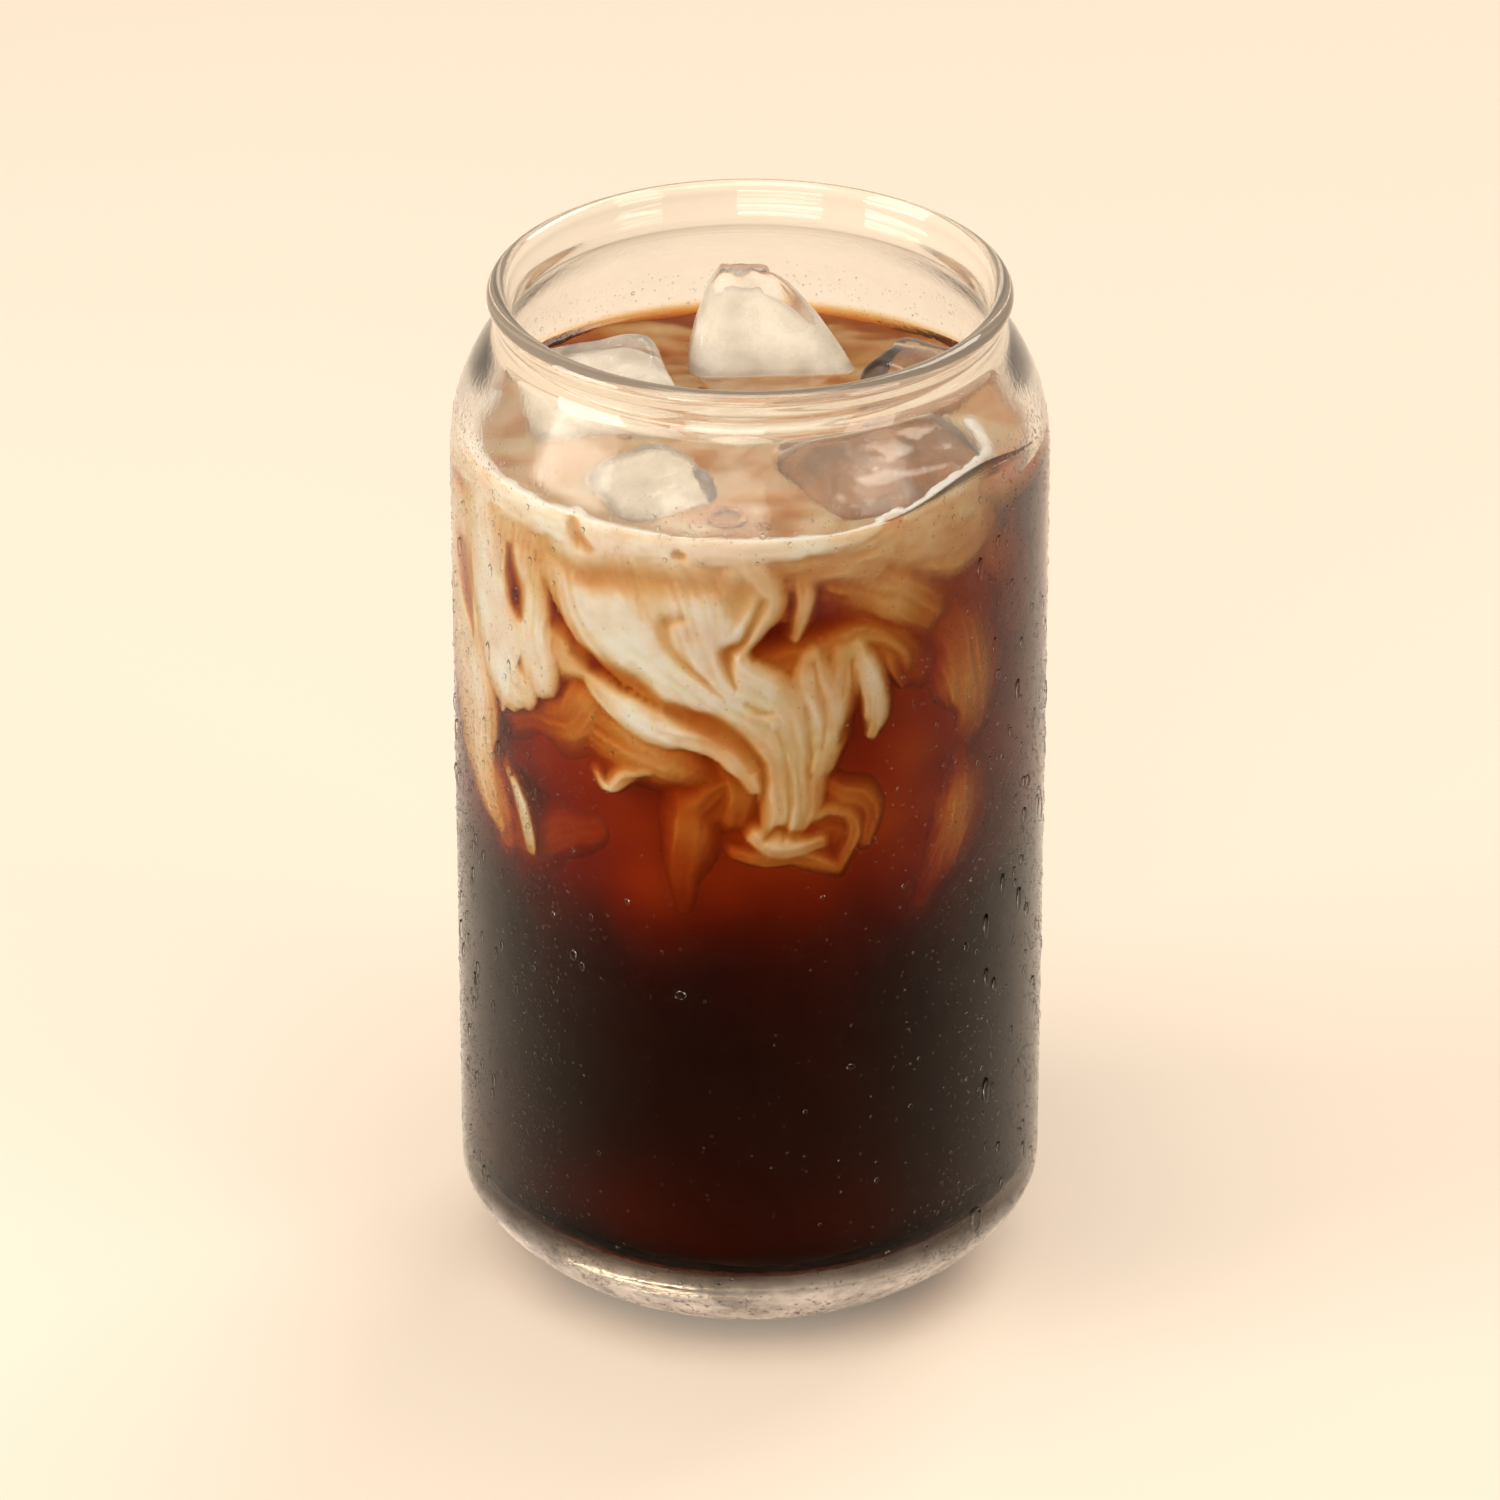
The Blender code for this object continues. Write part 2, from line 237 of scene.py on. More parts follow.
def glass_material(name, ior, sheen=(1, 1, 1), mist=False, film=0.0):
    """Sheen tints and dims the mirror image of the lamps; film is an even breath of fog."""
    made, tree = new_material(name)
    shader = add(tree, "BsdfPrincipled", Base_Color=linear("#FFFDF7"), Roughness=0.0, IOR=ior,
                 Transmission_Weight=1.0, Specular_Tint=tuple(sheen) + (1.0,))
    wall = shader
    if film:
        breath = add(tree, "BsdfDiffuse", Color=linear("#F2DCC4"))
        wall = add(tree, "MixShader", Fac=film, i1=shader, i2=breath)
    if mist:
        where = add(tree, "TexCoord").outputs["Object"]
        beads = add(tree, "TexNoise", Vector=where, Scale=1 / FINE_BEADS, Detail=3.0, Roughness=0.65)
        bump = add(tree, "Bump", Strength=0.22, Distance=0.12 * MM, Height=beads.outputs["Fac"])
        height = add(tree, "SeparateXYZ", Vector=where).outputs["Z"]
        part = {key: add(tree, "MapRange", {"interpolation_type": "SMOOTHSTEP"}, Value=height,
                         From_Min=low * MM, From_Max=high * MM, To_Min=start, To_Max=end)
                for key, (low, high, start, end) in FOGGED.items()}
        haze = add(tree, "Math", {"operation": "ADD"}, i0=part["shoulder_haze"], i1=part["foot_haze"])
        tree.links.new(haze.outputs[0], shader.inputs["Roughness"])
        tree.links.new(bump.outputs[0], shader.inputs["Normal"])
        foot = add(tree, "Math", {"operation": "MULTIPLY"}, i0=part["foot_fog"], i1=part["underside"])
        foggy = add(tree, "Math", {"operation": "ADD"}, i0=foot, i1=part["neck_fog"])
        patches = add(tree, "TexNoise", Vector=where, Scale=1 / FOG_PATCHES, Detail=7.0, Roughness=0.7)
        patches = add(tree, "MapRange", Value=patches.outputs["Fac"], From_Min=0.37, From_Max=0.63,
                      To_Min=0.32, To_Max=1.0)
        share = add(tree, "Math", {"operation": "MULTIPLY"}, i0=foggy, i1=patches)
        fog = add(tree, "BsdfDiffuse", Color=linear("#F4E7DE"))
        wall = add(tree, "MixShader", Fac=share, i1=shader, i2=fog)
    add(tree, "OutputMaterial", Surface=lets_lamps_through(tree, wall))
    return made


GLASS_FINISHES = (
    glass_material("clear soda-lime glass", GLASS_IOR, sheen=(0.35, 0.33, 0.31)),
    glass_material("misted soda-lime glass", GLASS_IOR, sheen=(0.15, 0.085, 0.05), mist=True),
    glass_material("wet inside of the glass", GLASS_IOR / WATER_IOR, sheen=(0.16, 0.11, 0.08)),
    glass_material("fire-polished rim, breathed on", GLASS_IOR, film=0.15),
    glass_material("misted shoulder of soda-lime glass", GLASS_IOR, sheen=(0.5, 0.47, 0.44), mist=True),
)
print("wet glass bends light by", round(GLASS_IOR / WATER_IOR, 3), "and dry glass by", GLASS_IOR)

# %% Glass piece
glass_mesh = turned([(0, 0)] + outside + bead + inside + [(0, FLOOR)], GLASS_STEPS)
CLEAR, MISTED, WET, RIM, SHOULDER = range(5)        # places in the list of finishes
RIM_START, UNDERSIDE = 126.5 * MM, 1 * MM
for face in glass_mesh.faces:
    centre = face.calc_center_median()
    radius, height = math.hypot(centre.x, centre.y), centre.z
    middle = 0.5 * (outer_radius(height) + inner_radius(height)) if height < NECK_HEIGHT else 0
    if height > RIM_START:
        face.material_index = RIM
    elif height < UNDERSIDE:
        face.material_index = CLEAR
    elif radius > middle and radius >= FLOOR_RADIUS:
        face.material_index = SHOULDER if height > LEVEL else MISTED
    else:
        face.material_index = WET if height < LEVEL else CLEAR
keep_piece(to_object("tumbler", glass_mesh, *GLASS_FINISHES), "clear_glass", "glass")

# %% [markdown]
# ## Ice
# Each block starts as a cube, cut finely, and its points are pulled onto a box with melted, rounded
# edges. Slow noise dents the faces, because ice melts unevenly. A bevel would round the edges too, but
# not dent them, and a sculpted block can't be changed by a number later.

# %% Ice shapes
# centre, size and turn about X, Y and Z, in mm and degrees
FLOATING = {
    "ice_back": ((3.6, 20.3, 114.4), (25.0, 11.5, 21.2), (-30, 3, 2)),
    "ice_left": ((-18.6, 4.8, 108.2), (19.5, 21.0, 22.0), (4, -5, 12)),
    "ice_middle": ((-1.2, -3.2, 108.6), (8.5, 10.0, 17.5), (-6, 5, 38)),
    "ice_right": ((21.2, 8.2, 109.6), (14.5, 14.5, 19.0), (-5, 6, -24)),
    "ice_front_right": ((16.0, -14.2, 110.8), (22.8, 18.0, 15.2), (6, 4, 33)),
    "ice_front_left": ((-11.6, -18.2, 108.0), (13.5, 15.5, 16.5), (-7, -5, 30)),
}
SUNK = {
    "sunk_left": ((-11.4, -20.4, 86.5), (21.0, 12.0, 12.5), (4, 9, -24)),
    "sunk_right": ((18.6, -14.4, 93.5), (15.0, 12.0, 12.0), (-6, 8, 50)),
    "sunk_low_right": ((17.6, -14.0, 70.0), (12.0, 11.0, 17.0), (8, -10, 52)),
    "sunk_low_middle": ((-4.8, -20.8, 68.0), (13.0, 11.0, 16.0), (-8, 14, -10)),
    "sunk_back": ((-8.0, 19.0, 84.0), (17.0, 15.0, 14.0), (10, 12, 20)),
    "sunk_back_low": ((14.0, 14.0, 66.0), (15.0, 14.0, 15.0), (-12, 8, 40)),
}
ICE_PEAKS = {"ice_back": (-6.8, 0.28)}      # where a block narrows upwards: its peak across and the share kept
PEAK_POWER = 1.7                            # it narrows slowly at first, then faster
ICE_CUTS = 18
ROUNDING, SUNK_ROUNDING = 3.0 * MM, 5.2 * MM
DENTS = ((0.55 * MM, 9 * MM), (0.22 * MM, 3.5 * MM))        # depth and breadth


def ice_shape(name, block, shrink=0.0):
    (x, y, z), size, turns = block
    rounding = ROUNDING if name in FLOATING else SUNK_ROUNDING
    half = Vector(size) * MM * 0.5 - Vector((shrink,) * 3)
    peak, kept = ICE_PEAKS.get(name, (0.0, 1.0))
    seed = 7.3 * sum(map(ord, name))
    mesh_data = bmesh.new()
    bmesh.ops.create_cube(mesh_data, size=2.0)
    bmesh.ops.subdivide_edges(mesh_data, edges=mesh_data.edges, cuts=ICE_CUTS, use_grid_fill=True)
    core = half - Vector((rounding,) * 3)
    for vert in mesh_data.verts:
        full = Vector([vert.co[i] * half[i] for i in range(3)])
        inner = Vector([max(-core[i], min(core[i], full[i])) for i in range(3)])
        place = inner + (full - inner).normalized() * rounding if (full - inner).length > 0 else full
        (deep, broad), (shallow, narrow) = DENTS
        dent = deep * ripple(*(place / broad + Vector((seed, 0, 0)))) \
            + shallow * ripple(*(place / narrow + Vector((0, seed, 0))))
        rise = (0.5 * (vert.co.z + 1)) ** PEAK_POWER
        vert.co = place * (1 + dent / max(half))
        vert.co.x = peak * MM + (vert.co.x - peak * MM) * (1 - (1 - kept) * rise)
    turn = Euler([math.radians(angle) for angle in turns]).to_matrix().to_4x4()
    bmesh.ops.transform(mesh_data, matrix=Matrix.Translation(Vector((x, y, z)) * MM) @ turn,
                        verts=mesh_data.verts)
    bmesh.ops.recalc_face_normals(mesh_data, faces=mesh_data.faces)
    return mesh_data


def ice_tools(blocks, shrink):
    """Solids to cut room for the ice with."""
    return [to_object(name + "_tool", ice_shape(name, block, shrink)) for name, block in blocks.items()]


print(len(FLOATING), "blocks break the surface and", len(SUNK), "lie under it")

# %% [markdown]
# ## Finish of the ice
# The blocks that break the surface are clear above it. Below it ice and coffee bend light almost alike,
# so there the face is see-through and only frost and clinging cream show, tinted by the coffee in front.
# Freezer ice is clear outside and white with trapped air inside, so each floating block gets a smaller
# white heart: a second copy of the same shape, shrunk, which is simpler than a cloudy volume.

# %% Ice materials
FROST_CLOUD, ICE_GRAIN = 6 * MM, 2.5 * MM


def frost_amount(tree, where, least, most):
    cloud = add(tree, "TexNoise", Vector=where, Scale=1 / FROST_CLOUD, Detail=4.0, Roughness=0.6)
    return add(tree, "MapRange", Value=cloud.outputs["Fac"], From_Min=0.35, From_Max=0.65,
               To_Min=least, To_Max=most)


def ice_material(name, least, most, dry_top=None, frost_colour="#FFF4E6"):
    """Least and most frost under the drink and, for a block that stands out of it, above."""
    made, tree = new_material(name)
    where = add(tree, "TexCoord").outputs["Object"]
    frost = add(tree, "BsdfDiffuse", Color=linear(frost_colour))
    see_through = add(tree, "BsdfTransparent")
    under = add(tree, "MixShader", Fac=frost_amount(tree, where, least, most),
                i1=see_through, i2=frost)
    surface = under
    if dry_top is not None:
        grain = add(tree, "TexNoise", Vector=where, Scale=1 / ICE_GRAIN, Detail=2.0)
        bump = add(tree, "Bump", Strength=0.15, Distance=0.3 * MM, Height=grain.outputs["Fac"])
        wet_ice = add(tree, "BsdfPrincipled", Base_Color=linear("#FFFFFF"), Roughness=0.02,
                      IOR=ICE_IOR, Transmission_Weight=1.0, Normal=bump)
        height = add(tree, "SeparateXYZ", Vector=where).outputs["Z"]
        above = add(tree, "Math", {"operation": "GREATER_THAN"}, i0=height, i1=LEVEL)
        milky = add(tree, "MixShader", Fac=frost_amount(tree, where, *dry_top),
                    i1=lets_lamps_through(tree, wet_ice), i2=frost)
        surface = add(tree, "MixShader", Fac=above, i1=under, i2=milky)
    add(tree, "OutputMaterial", Surface=surface)
    return made


creamy_ice = ice_material("clear ice, coated with cream under the drink", 0.7, 1.0, (0.08, 0.42))
floating_ice = ice_material("clear ice, wet above the drink", 0.12, 0.5, (0.0, 0.1))
cloudy_heart = ice_material("cloudy heart of an ice block", 0.75, 1.0, frost_colour="#FFF1DA")
stained_heart = ice_material("heart of an ice block, stained by coffee", 0.3, 0.75, frost_colour="#C08048")
sunk_ice = ice_material("frosted ice under the drink", 0.55, 0.95)
print("five finishes for ice, with frost in clouds of", round(FROST_CLOUD / MM), "mm")

# %% Ice pieces
IN_COFFEE = ("ice_right", "ice_front_right")        # the blocks that no cream has reached
HEART_DEPTH, HEART_TOP, HEART_ABOVE = 1.3 * MM, LEVEL - 0.6 * MM, 0.25
# how far in a heart lies, and how much of its height above the drink is kept
TALL_HEARTS = {"ice_back": (2.0 * MM, 0.9), "ice_left": (1.8 * MM, 0.8), "ice_middle": (1.5 * MM, 0.7)}
for name, block in FLOATING.items():
    finish = floating_ice if name in IN_COFFEE else creamy_ice
    keep_piece(to_object(name + "_block", ice_shape(name, block), finish), "ice", name)
for name, block in FLOATING.items():
    depth, kept_above = TALL_HEARTS.get(name, (HEART_DEPTH, HEART_ABOVE))
    heart = ice_shape(name, block, depth)
    for vert in heart.verts:
        if vert.co.z > HEART_TOP:
            vert.co.z = HEART_TOP + kept_above * (vert.co.z - HEART_TOP)
    finish = stained_heart if name in IN_COFFEE else cloudy_heart
    keep_piece(to_object(name + "_heart", heart, finish), "ice")
for name, block in SUNK.items():
    keep_piece(to_object(name, ice_shape(name, block), sunk_ice), "ice")

# %% [markdown]
# ## Coffee
# The drink fills the glass, so its skin is the inside of the wall, turned again and pushed just into the
# glass so that no gap shows. Water clings: the surface climbs a millimetre at the wall, and more where
# an ice block stands close to it. Room for the ice is cut with a Boolean.

# %% Coffee shape
MENISCUS, MENISCUS_REACH = 1.2 * MM, 1.1 * MM
RISE, RISE_TURN, RISE_SPREAD = 3.0 * MM, 52, 19     # the drink climbs between the wall and an ice block
RISE_START, RISE_REACH = LEVEL - 8 * MM, 3 * MM     # from where up, and how far in from the wall
COFFEE_STEPS = 160


def turn_of(x, y):
    """Degrees round the glass from the front, to the right."""
    return math.degrees(math.atan2(x, -y))


def climb(turn):
    """How far the surface climbs at the wall."""
    return RISE * math.exp(-((turn - RISE_TURN) / RISE_SPREAD) ** 2)


side = [(inner_radius(z) + OVERLAP, z - OVERLAP) for z in corner_heights(FLOOR, FLOOR_CORNER, 14)]
side += [(inner_radius(z) + OVERLAP, z) for z in spaced(24 * MM, 100 * MM, 8) + spaced(103 * MM, LEVEL, 8)]
top_radius = inner_radius(LEVEL) + OVERLAP
surface = [(top_radius - reach, LEVEL + MENISCUS * math.exp(-reach / MENISCUS_REACH))
           for reach in [0] + [0.25 * MM * 1.22 ** step for step in range(22)]]
coffee_mesh = turned([(0, FLOOR - OVERLAP)] + side + surface + [(0, LEVEL)], COFFEE_STEPS)
for vert in coffee_mesh.verts:
    radius = math.hypot(vert.co.x, vert.co.y)
    if vert.co.z > RISE_START and radius > 10 * MM:
        share = float(smoothstep(RISE_START, LEVEL, vert.co.z))
        share *= math.exp(-max(0, top_radius - radius) / RISE_REACH)
        vert.co.z += climb(turn_of(vert.co.x, vert.co.y)) * share
        limit = inner_radius(vert.co.z) + OVERLAP
        if radius > limit:
            vert.co.x *= limit / radius
            vert.co.y *= limit / radius
print("the drink holds", round(coffee_mesh.calc_volume() * 1e6), "ml, with the ice and the cream in it")

# %% [markdown]
# ## Colour of the coffee
# Cold brew is a clear dark liquid. Its colour comes from absorption alone: a volume shader takes a share
# of each colour for every millimetre of path. Only the open surface bends light here, because the
# wall and the ice already carry the bend, so the rest of the skin is plain transparent.

# %% Coffee material
COFFEE_ABSORPTION = (0.19, 0.57, 1.22)      # share of red, green and blue taken, per mm
coffee_material, tree = new_material("cold brew coffee")
open_top = add(tree, "Attribute", {"attribute_name": "open_surface"})
liquid = add(tree, "BsdfPrincipled", Base_Color=linear("#FFFFFF"), Roughness=0.0, IOR=WATER_IOR,
             Transmission_Weight=1.0)
skin = add(tree, "MixShader", Fac=open_top.outputs["Fac"],
           i1=add(tree, "BsdfTransparent"),
           i2=lets_lamps_through(tree, liquid))
strongest = max(COFFEE_ABSORPTION)
body = add(tree, "VolumeAbsorption", Density=strongest / MM,
           Color=tuple(1 - share / strongest for share in COFFEE_ABSORPTION) + (1.0,))
add(tree, "OutputMaterial", Surface=skin, Volume=body)
print("a millimetre of coffee lets through", [round(math.exp(-share), 2) for share in COFFEE_ABSORPTION])


# %% Coffee piece
def cut_room(target, tools, finish):
    """Cut a collection of solids out of a piece with one Boolean, and give the piece its one finish again."""
    group = bpy.data.collections.new("tools")
    bpy.context.scene.collection.children.link(group)
    for tool in tools:
        group.objects.link(tool)
    step = target.modifiers.new("Room", "BOOLEAN")
    step.operation, step.operand_type, step.solver = "DIFFERENCE", "COLLECTION", "MANIFOLD"
    step.collection = group
    target.data = bpy.data.meshes.new_from_object(target.evaluated_get(bpy.context.evaluated_depsgraph_get()))
    target.modifiers.clear()
    for tool in tools:
        bpy.data.objects.remove(tool, do_unlink=True)
    bpy.data.collections.remove(group)
    target.data.materials.clear()
    target.data.materials.append(finish)
    for face in target.data.polygons:
        face.material_index = 0
    target.data.shade_smooth()


ICE_GAP = 0.1 * MM              # how far the room is cut inside the ice, so that no gap shows
coffee = to_object("cold_brew", coffee_mesh, coffee_material)
cut_room(coffee, ice_tools({**FLOATING, **SUNK}, ICE_GAP), coffee_material)
mark = coffee.data.attributes.new("open_surface", "FLOAT", "FACE")
for face in coffee.data.polygons:
    x, y, z = face.center
    inside_wall = math.hypot(x, y) < inner_radius(min(z, 125 * MM)) - 0.02 * MM
    mark.data[face.index].value = float(face.normal.z > 0.3 and z > LEVEL - 0.05 * MM and inside_wall)
keep_piece(coffee, "cold_brew", "coffee")

# %% [markdown]
# ## Cream
# Cream is heavier than it looks: poured on cold coffee it sinks in plumes that cling to the wall, fold
# and fray. A fluid simulation would swirl somewhere else on each run, so the plumes are drawn. The
# sheet is a grid wrapped round the inside of the glass. At every point it stands some distance in from
# the wall, and that depth is all the drawing there is. Strokes set it: each is a line down the wall
# with a width and a depth. The nearest stroke wins, and grooves cut folds into it.

# %% Cream strokes
# Each station: turn in degrees, height, half width and depth in mm. Then how much the edge rolls back
# and how steeply it falls away outside, both in mm.
STROKES = {
    "band": ([(-95, 114, 3.5, .25), (-60, 114.6, 3, .2), (-30, 114.5, 2.6, .15), (0, 114.6, 2.2, .15),
            (20, 114.8, 1.2, .25), (27, 114.9, .6, .5)], 0.3, 2.0),
    "under_band": ([(-62, 110.5, 4, .8), (-40, 111, 4, .75), (-20, 111.5, 3.5, .75),
            (-4, 111.5, 3, .8)], 0.2, 0.8),
    "main_left": ([(-33, 108.5, 9, .15), (-31, 104.5, 6.5, .1), (-24, 100.5, 5.5, .1), (-15, 97, 5, .1),
            (-7, 93.6, 4, .15), (0, 90.5, 3.6, .3), (5, 86.5, 3.4, .45), (7, 81, 3.2, .5),
            (6.5, 76, 2.6, .55)], 0.7, 4.0),
    "main_top": ([(-18, 110, 6, .3), (-14, 106, 6.5, .15), (-12, 102, 5.5, .1)], 0.4, 3.0),
    "fold": ([(-1, 110, 4, .35), (1.5, 107.5, 3.6, .3), (-2, 104.5, 3.2, .2), (-5, 101, 3, .2),
            (-3, 97.5, 3.2, .15), (4, 94.5, 4, .25), (9, 91, 4.2, .35), (10.5, 86, 3.8, .5),
            (10.5, 80.5, 2.7, .6), (9, 76.5, 1.6, .7)], 0.7, 3.5),
    "right_lobe": ([(12.5, 99.5, 1.6, .6), (13, 97, 2.6, .4), (15, 93.5, 3, .35), (15.5, 89.5, 2.4, .4),
            (14, 85, 2, .5)], 0.6, 2.5),
    "right_inner": ([(19, 99.5, 1.8, .7), (19, 96, 2.2, .5), (18.5, 92, 1.6, .7),
            (17.5, 88.5, 1, 1.0)], 0.7, 2.5),
    "finger": ([(21.5, 100.5, 1, .7), (24, 97.5, 1.6, .35), (26, 93.5, 1.8, .3), (26, 90.5, 1.7, .4),
            (25, 88.6, 1, .7)], 0.6, 3.5),
    "right_veil": ([(2, 99, 1.4, 2.0), (10, 99.4, 1.8, 1.4), (19, 101, 1.8, 1.1), (26, 101, 1.5, 1.2),
            (32, 98.3, 1.1, 1.2), (34, 95.5, .4, 1.6)], 0.6, 1.2),
    "feather": ([(28, 99, 1.2, 1.5), (30, 96, .8, 1.6), (33, 93, .25, 1.8)], 0.5, 1.5),
    "ear": ([(3, 111.6, 1.6, 1.1), (11, 112, 2.5, .9), (20, 112.2, 2.7, .75), (28, 112.4, 2.4, .75)], 0.4, 1.8),
    "ear_lobe": ([(25, 110.5, 2.6, .9), (22, 108.8, 1.8, 1.2), (19, 107.4, .9, 1.7)], 0.6, 1.4),
    "ear_veil": ([(9, 110.5, 2.2, 1.3), (15, 110.3, 1.6, 1.3)], 0.5, 1.0),
    "drip": ([(11, 110, 1.4, 1.0), (11.3, 107.5, 1.0, .5), (10.3, 104.5, .8, .5),
            (9, 102.3, .6, .7)], 0.6, 2.5),
    "neck_haze": ([(5, 108, 1.2, 1.6), (6.5, 105, .8, 2.0)], 0.5, 1.2),
    "lower_left": ([(-35, 95.2, .8, .6), (-32, 94, 1.7, .35), (-28, 92.3, 2.2, .2), (-21, 90.2, 2.6, .15),
            (-14, 89.3, 2.1, .2), (-7, 88.2, 1.8, .25), (-2, 85.6, 1.6, .35), (1, 82.4, 1.1, .5)], 0.5, 4.5),
    "left_top": ([(-58, 111, 7, .5), (-60, 107, 6, .2)], 0.4, 2.0),
    "left": ([(-72, 108, 7, .2), (-70, 103, 6.2, .15), (-66, 98, 6, .05), (-62, 93, 6.2, .05),
            (-58, 89.5, 4.4, .15), (-52, 88.8, 2.2, .3)], 0.5, 4.0),
    "left_edge": ([(-86, 106, 4, .3), (-86, 98, 5.5, .4), (-80, 90, 7, .2), (-76, 83, 7.6, .2),
            (-74.5, 77, 6.4, .3), (-69, 71.6, 3.8, .5), (-63, 68.2, 1.8, .9)], 0.7, 1.6),
    "left_inner": ([(-50, 106, 2.6, .5), (-49, 102, 3, .3), (-50, 97, 4, .15), (-48, 92.5, 3.4, .2)], 0.6, 3.0),
    "bridge": ([(-47, 98.5, 2.6, .8), (-42, 96.5, 3, .55), (-37, 96, 2, .6)], 0.6, 1.0),
    "jag_a": ([(-60, 88, 1.6, .2), (-61, 85, .6, .5)], 0.5, 4.0),
    "jag_b": ([(-56, 88, 1.6, .2), (-56.5, 86, .5, .5)], 0.5, 4.0),
    "hook": ([(-58.5, 76.4, .7, .6), (-56, 75, 1.1, .35), (-53.5, 72.5, 1.2, .35), (-51.8, 69.5, 1.2, .4),
            (-51.5, 67.3, .8, .7)], 0.4, 3.0),
    "hook_veil": ([(-66, 74, 2.6, 1.1), (-62, 70, 2.6, 1.3), (-60, 66.5, 1.8, 1.9)], 0.6, 0.8),
    "tail_end": ([(1.5, 75.6, 1.2, .5), (5, 74, 1.3, .5), (10, 73.8, 1.3, .6), (14, 74.4, .9, 1.0)], 0.4, 2.2),
    "crumple_top": ([(15.5, 82, .8, 2.0), (19, 80.6, 1.2, 1.5), (23.5, 79.5, 1.4, 1.5),
            (25.5, 76.5, 1.2, 1.6), (24, 73.5, .9, 1.7)], 0.5, 1.2),
    "crumple_mid": ([(12.5, 77.6, .7, 1.0), (16, 78.6, .9, 1.1), (20, 77.6, 1.0, 1.3), (21.5, 75, .9, 1.3),
            (19.5, 72, .7, 1.3), (17.5, 70, .4, 1.8)], 0.5, 1.6),
    "crumple_low": ([(-3, 73, .9, 1.7), (3, 72.2, 1.1, 1.4), (10, 72.3, 1.0, 1.4), (15, 71.2, .9, 1.3),
            (18, 70.2, .6, 1.5)], 0.5, 1.4),
    "crumple_back": ([(8, 75.5, 2, 1.9), (15, 76, 2.4, 2.1), (20, 74.5, 1.6, 2.2)], 0.4, 0.9),
    "wisp": ([(0, 83.6, .8, 2.2), (-4, 83, 1.0, 1.9), (-9, 80.5, 1.3, 1.9), (-13, 77, 1.5, 1.9),
            (-14.5, 73, 1.3, 2.6), (-16, 69, 1.2, 3.6), (-18, 65, 1.4, 4.4)], 0.5, 0.9),
    "wisp_inner": ([(-1, 81, 1.0, 2.3), (-6, 78.5, 1.2, 2.4), (-9, 76, 1, 2.8)], 0.5, 0.9),
    "glow": ([(-1, 71, 2, 3.6), (1, 66, 2.2, 4.6), (4, 61, 2, 5.6)], 0.5, 0.7),
    "tan_patch": ([(-44, 89, 1.4, 2.6), (-37, 89, 2.4, 1.7), (-29, 87.2, 3.2, 1.15), (-21, 85.6, 3.2, .9),
            (-13, 84.4, 2.2, 1.4), (-7, 83, 1.2, 2.4)], 0.5, 0.8),
    "shards": ([(-32.5, 81.8, .35, .9), (-30.5, 80.4, .6, .25), (-28.4, 80.3, .5, .3), (-26.5, 80.9, .5, .55),
            (-24, 81.6, .35, 1.0)], 0.4, 2.2),
    "shard_up": ([(-29, 81, .5, .4), (-26, 82.4, .6, .6), (-21, 83, .5, .9)], 0.4, 1.8),
    "glow_right": ([(42, 101, 3, 2.4), (48, 97, 4, 1.6), (51, 91, 4.4, 1.0), (51, 86, 3, 1.4),
            (47, 82, 2, 2.8)], 0.6, 0.5),
    "glow_upper_right": ([(54, 112, 3, 1.8), (60, 106, 3.5, 1.7), (66, 103, 4, 2.2),
            (68, 97, 3, 2.6)], 0.6, 0.5),
    "glow_low_right": ([(48, 80, 1.6, 2.6), (49, 76, 2.8, 1.4), (47, 71.5, 3.2, 1.3), (42, 67, 2.6, 2.2),
            (38, 62.5, 2, 3.6)], 0.6, 0.5),
    "glow_low_middle": ([(-12, 79, 1.6, 1.9), (-12, 75, 2.2, 1.6), (-13.5, 70, 2.2, 2.3),
            (-14, 65, 1.8, 3.4)], 0.6, 0.55),
    "glow_middle": ([(-4, 84.5, 1.6, 2.0), (-2, 81, 1.8, 1.5), (-3, 78, 1.6, 1.9)], 0.6, 0.6),
    "glow_low_left": ([(-60, 70, 2.2, 2.2), (-52, 67.5, 2.4, 2.5), (-42, 71, 2.4, 2.7),
            (-33, 73, 2.2, 2.8)], 0.6, 0.5),
    "glow_left": ([(-56, 84, 1.6, 2.4), (-48, 86, 2.4, 2.2), (-40, 87, 3, 1.3), (-36, 90, 3, 1.1)], 0.5, 0.55),
    "veil_upper": ([(18, 109, 2, 1.4), (25, 107.5, 3, 1.0), (32, 105.5, 3.4, .9),
            (38, 103, 2.6, 1.4)], 0.6, 0.45),
    "veil_rise": ([(34, 114.6, 1.2, .5), (46, 114.8, 1.8, .4), (55, 114.8, 1.8, .6), (63, 114.6, 1, 1.6),
            (68, 114.4, .5, 2.6)], 0.4, 0.8),
    "veil_top": ([(30, 112, 2.6, .8), (38, 111, 3.2, .6), (47, 110.5, 3.4, .6), (55, 111.5, 3, .8),
            (62, 112.5, 1.6, 1.8), (68, 113, .6, 2.8)], 0.5, 0.6),
    "veil_mid": ([(24, 100, 2.4, 2.0), (30, 99, 3, 1.7), (36, 95, 2.4, 2.2)], 0.6, 0.5),
    "haze_right": ([(30, 88, 4, 3.2), (42, 108, 6, 2.6), (52, 100, 5, 2.4)], 0.6, 0.4),
}
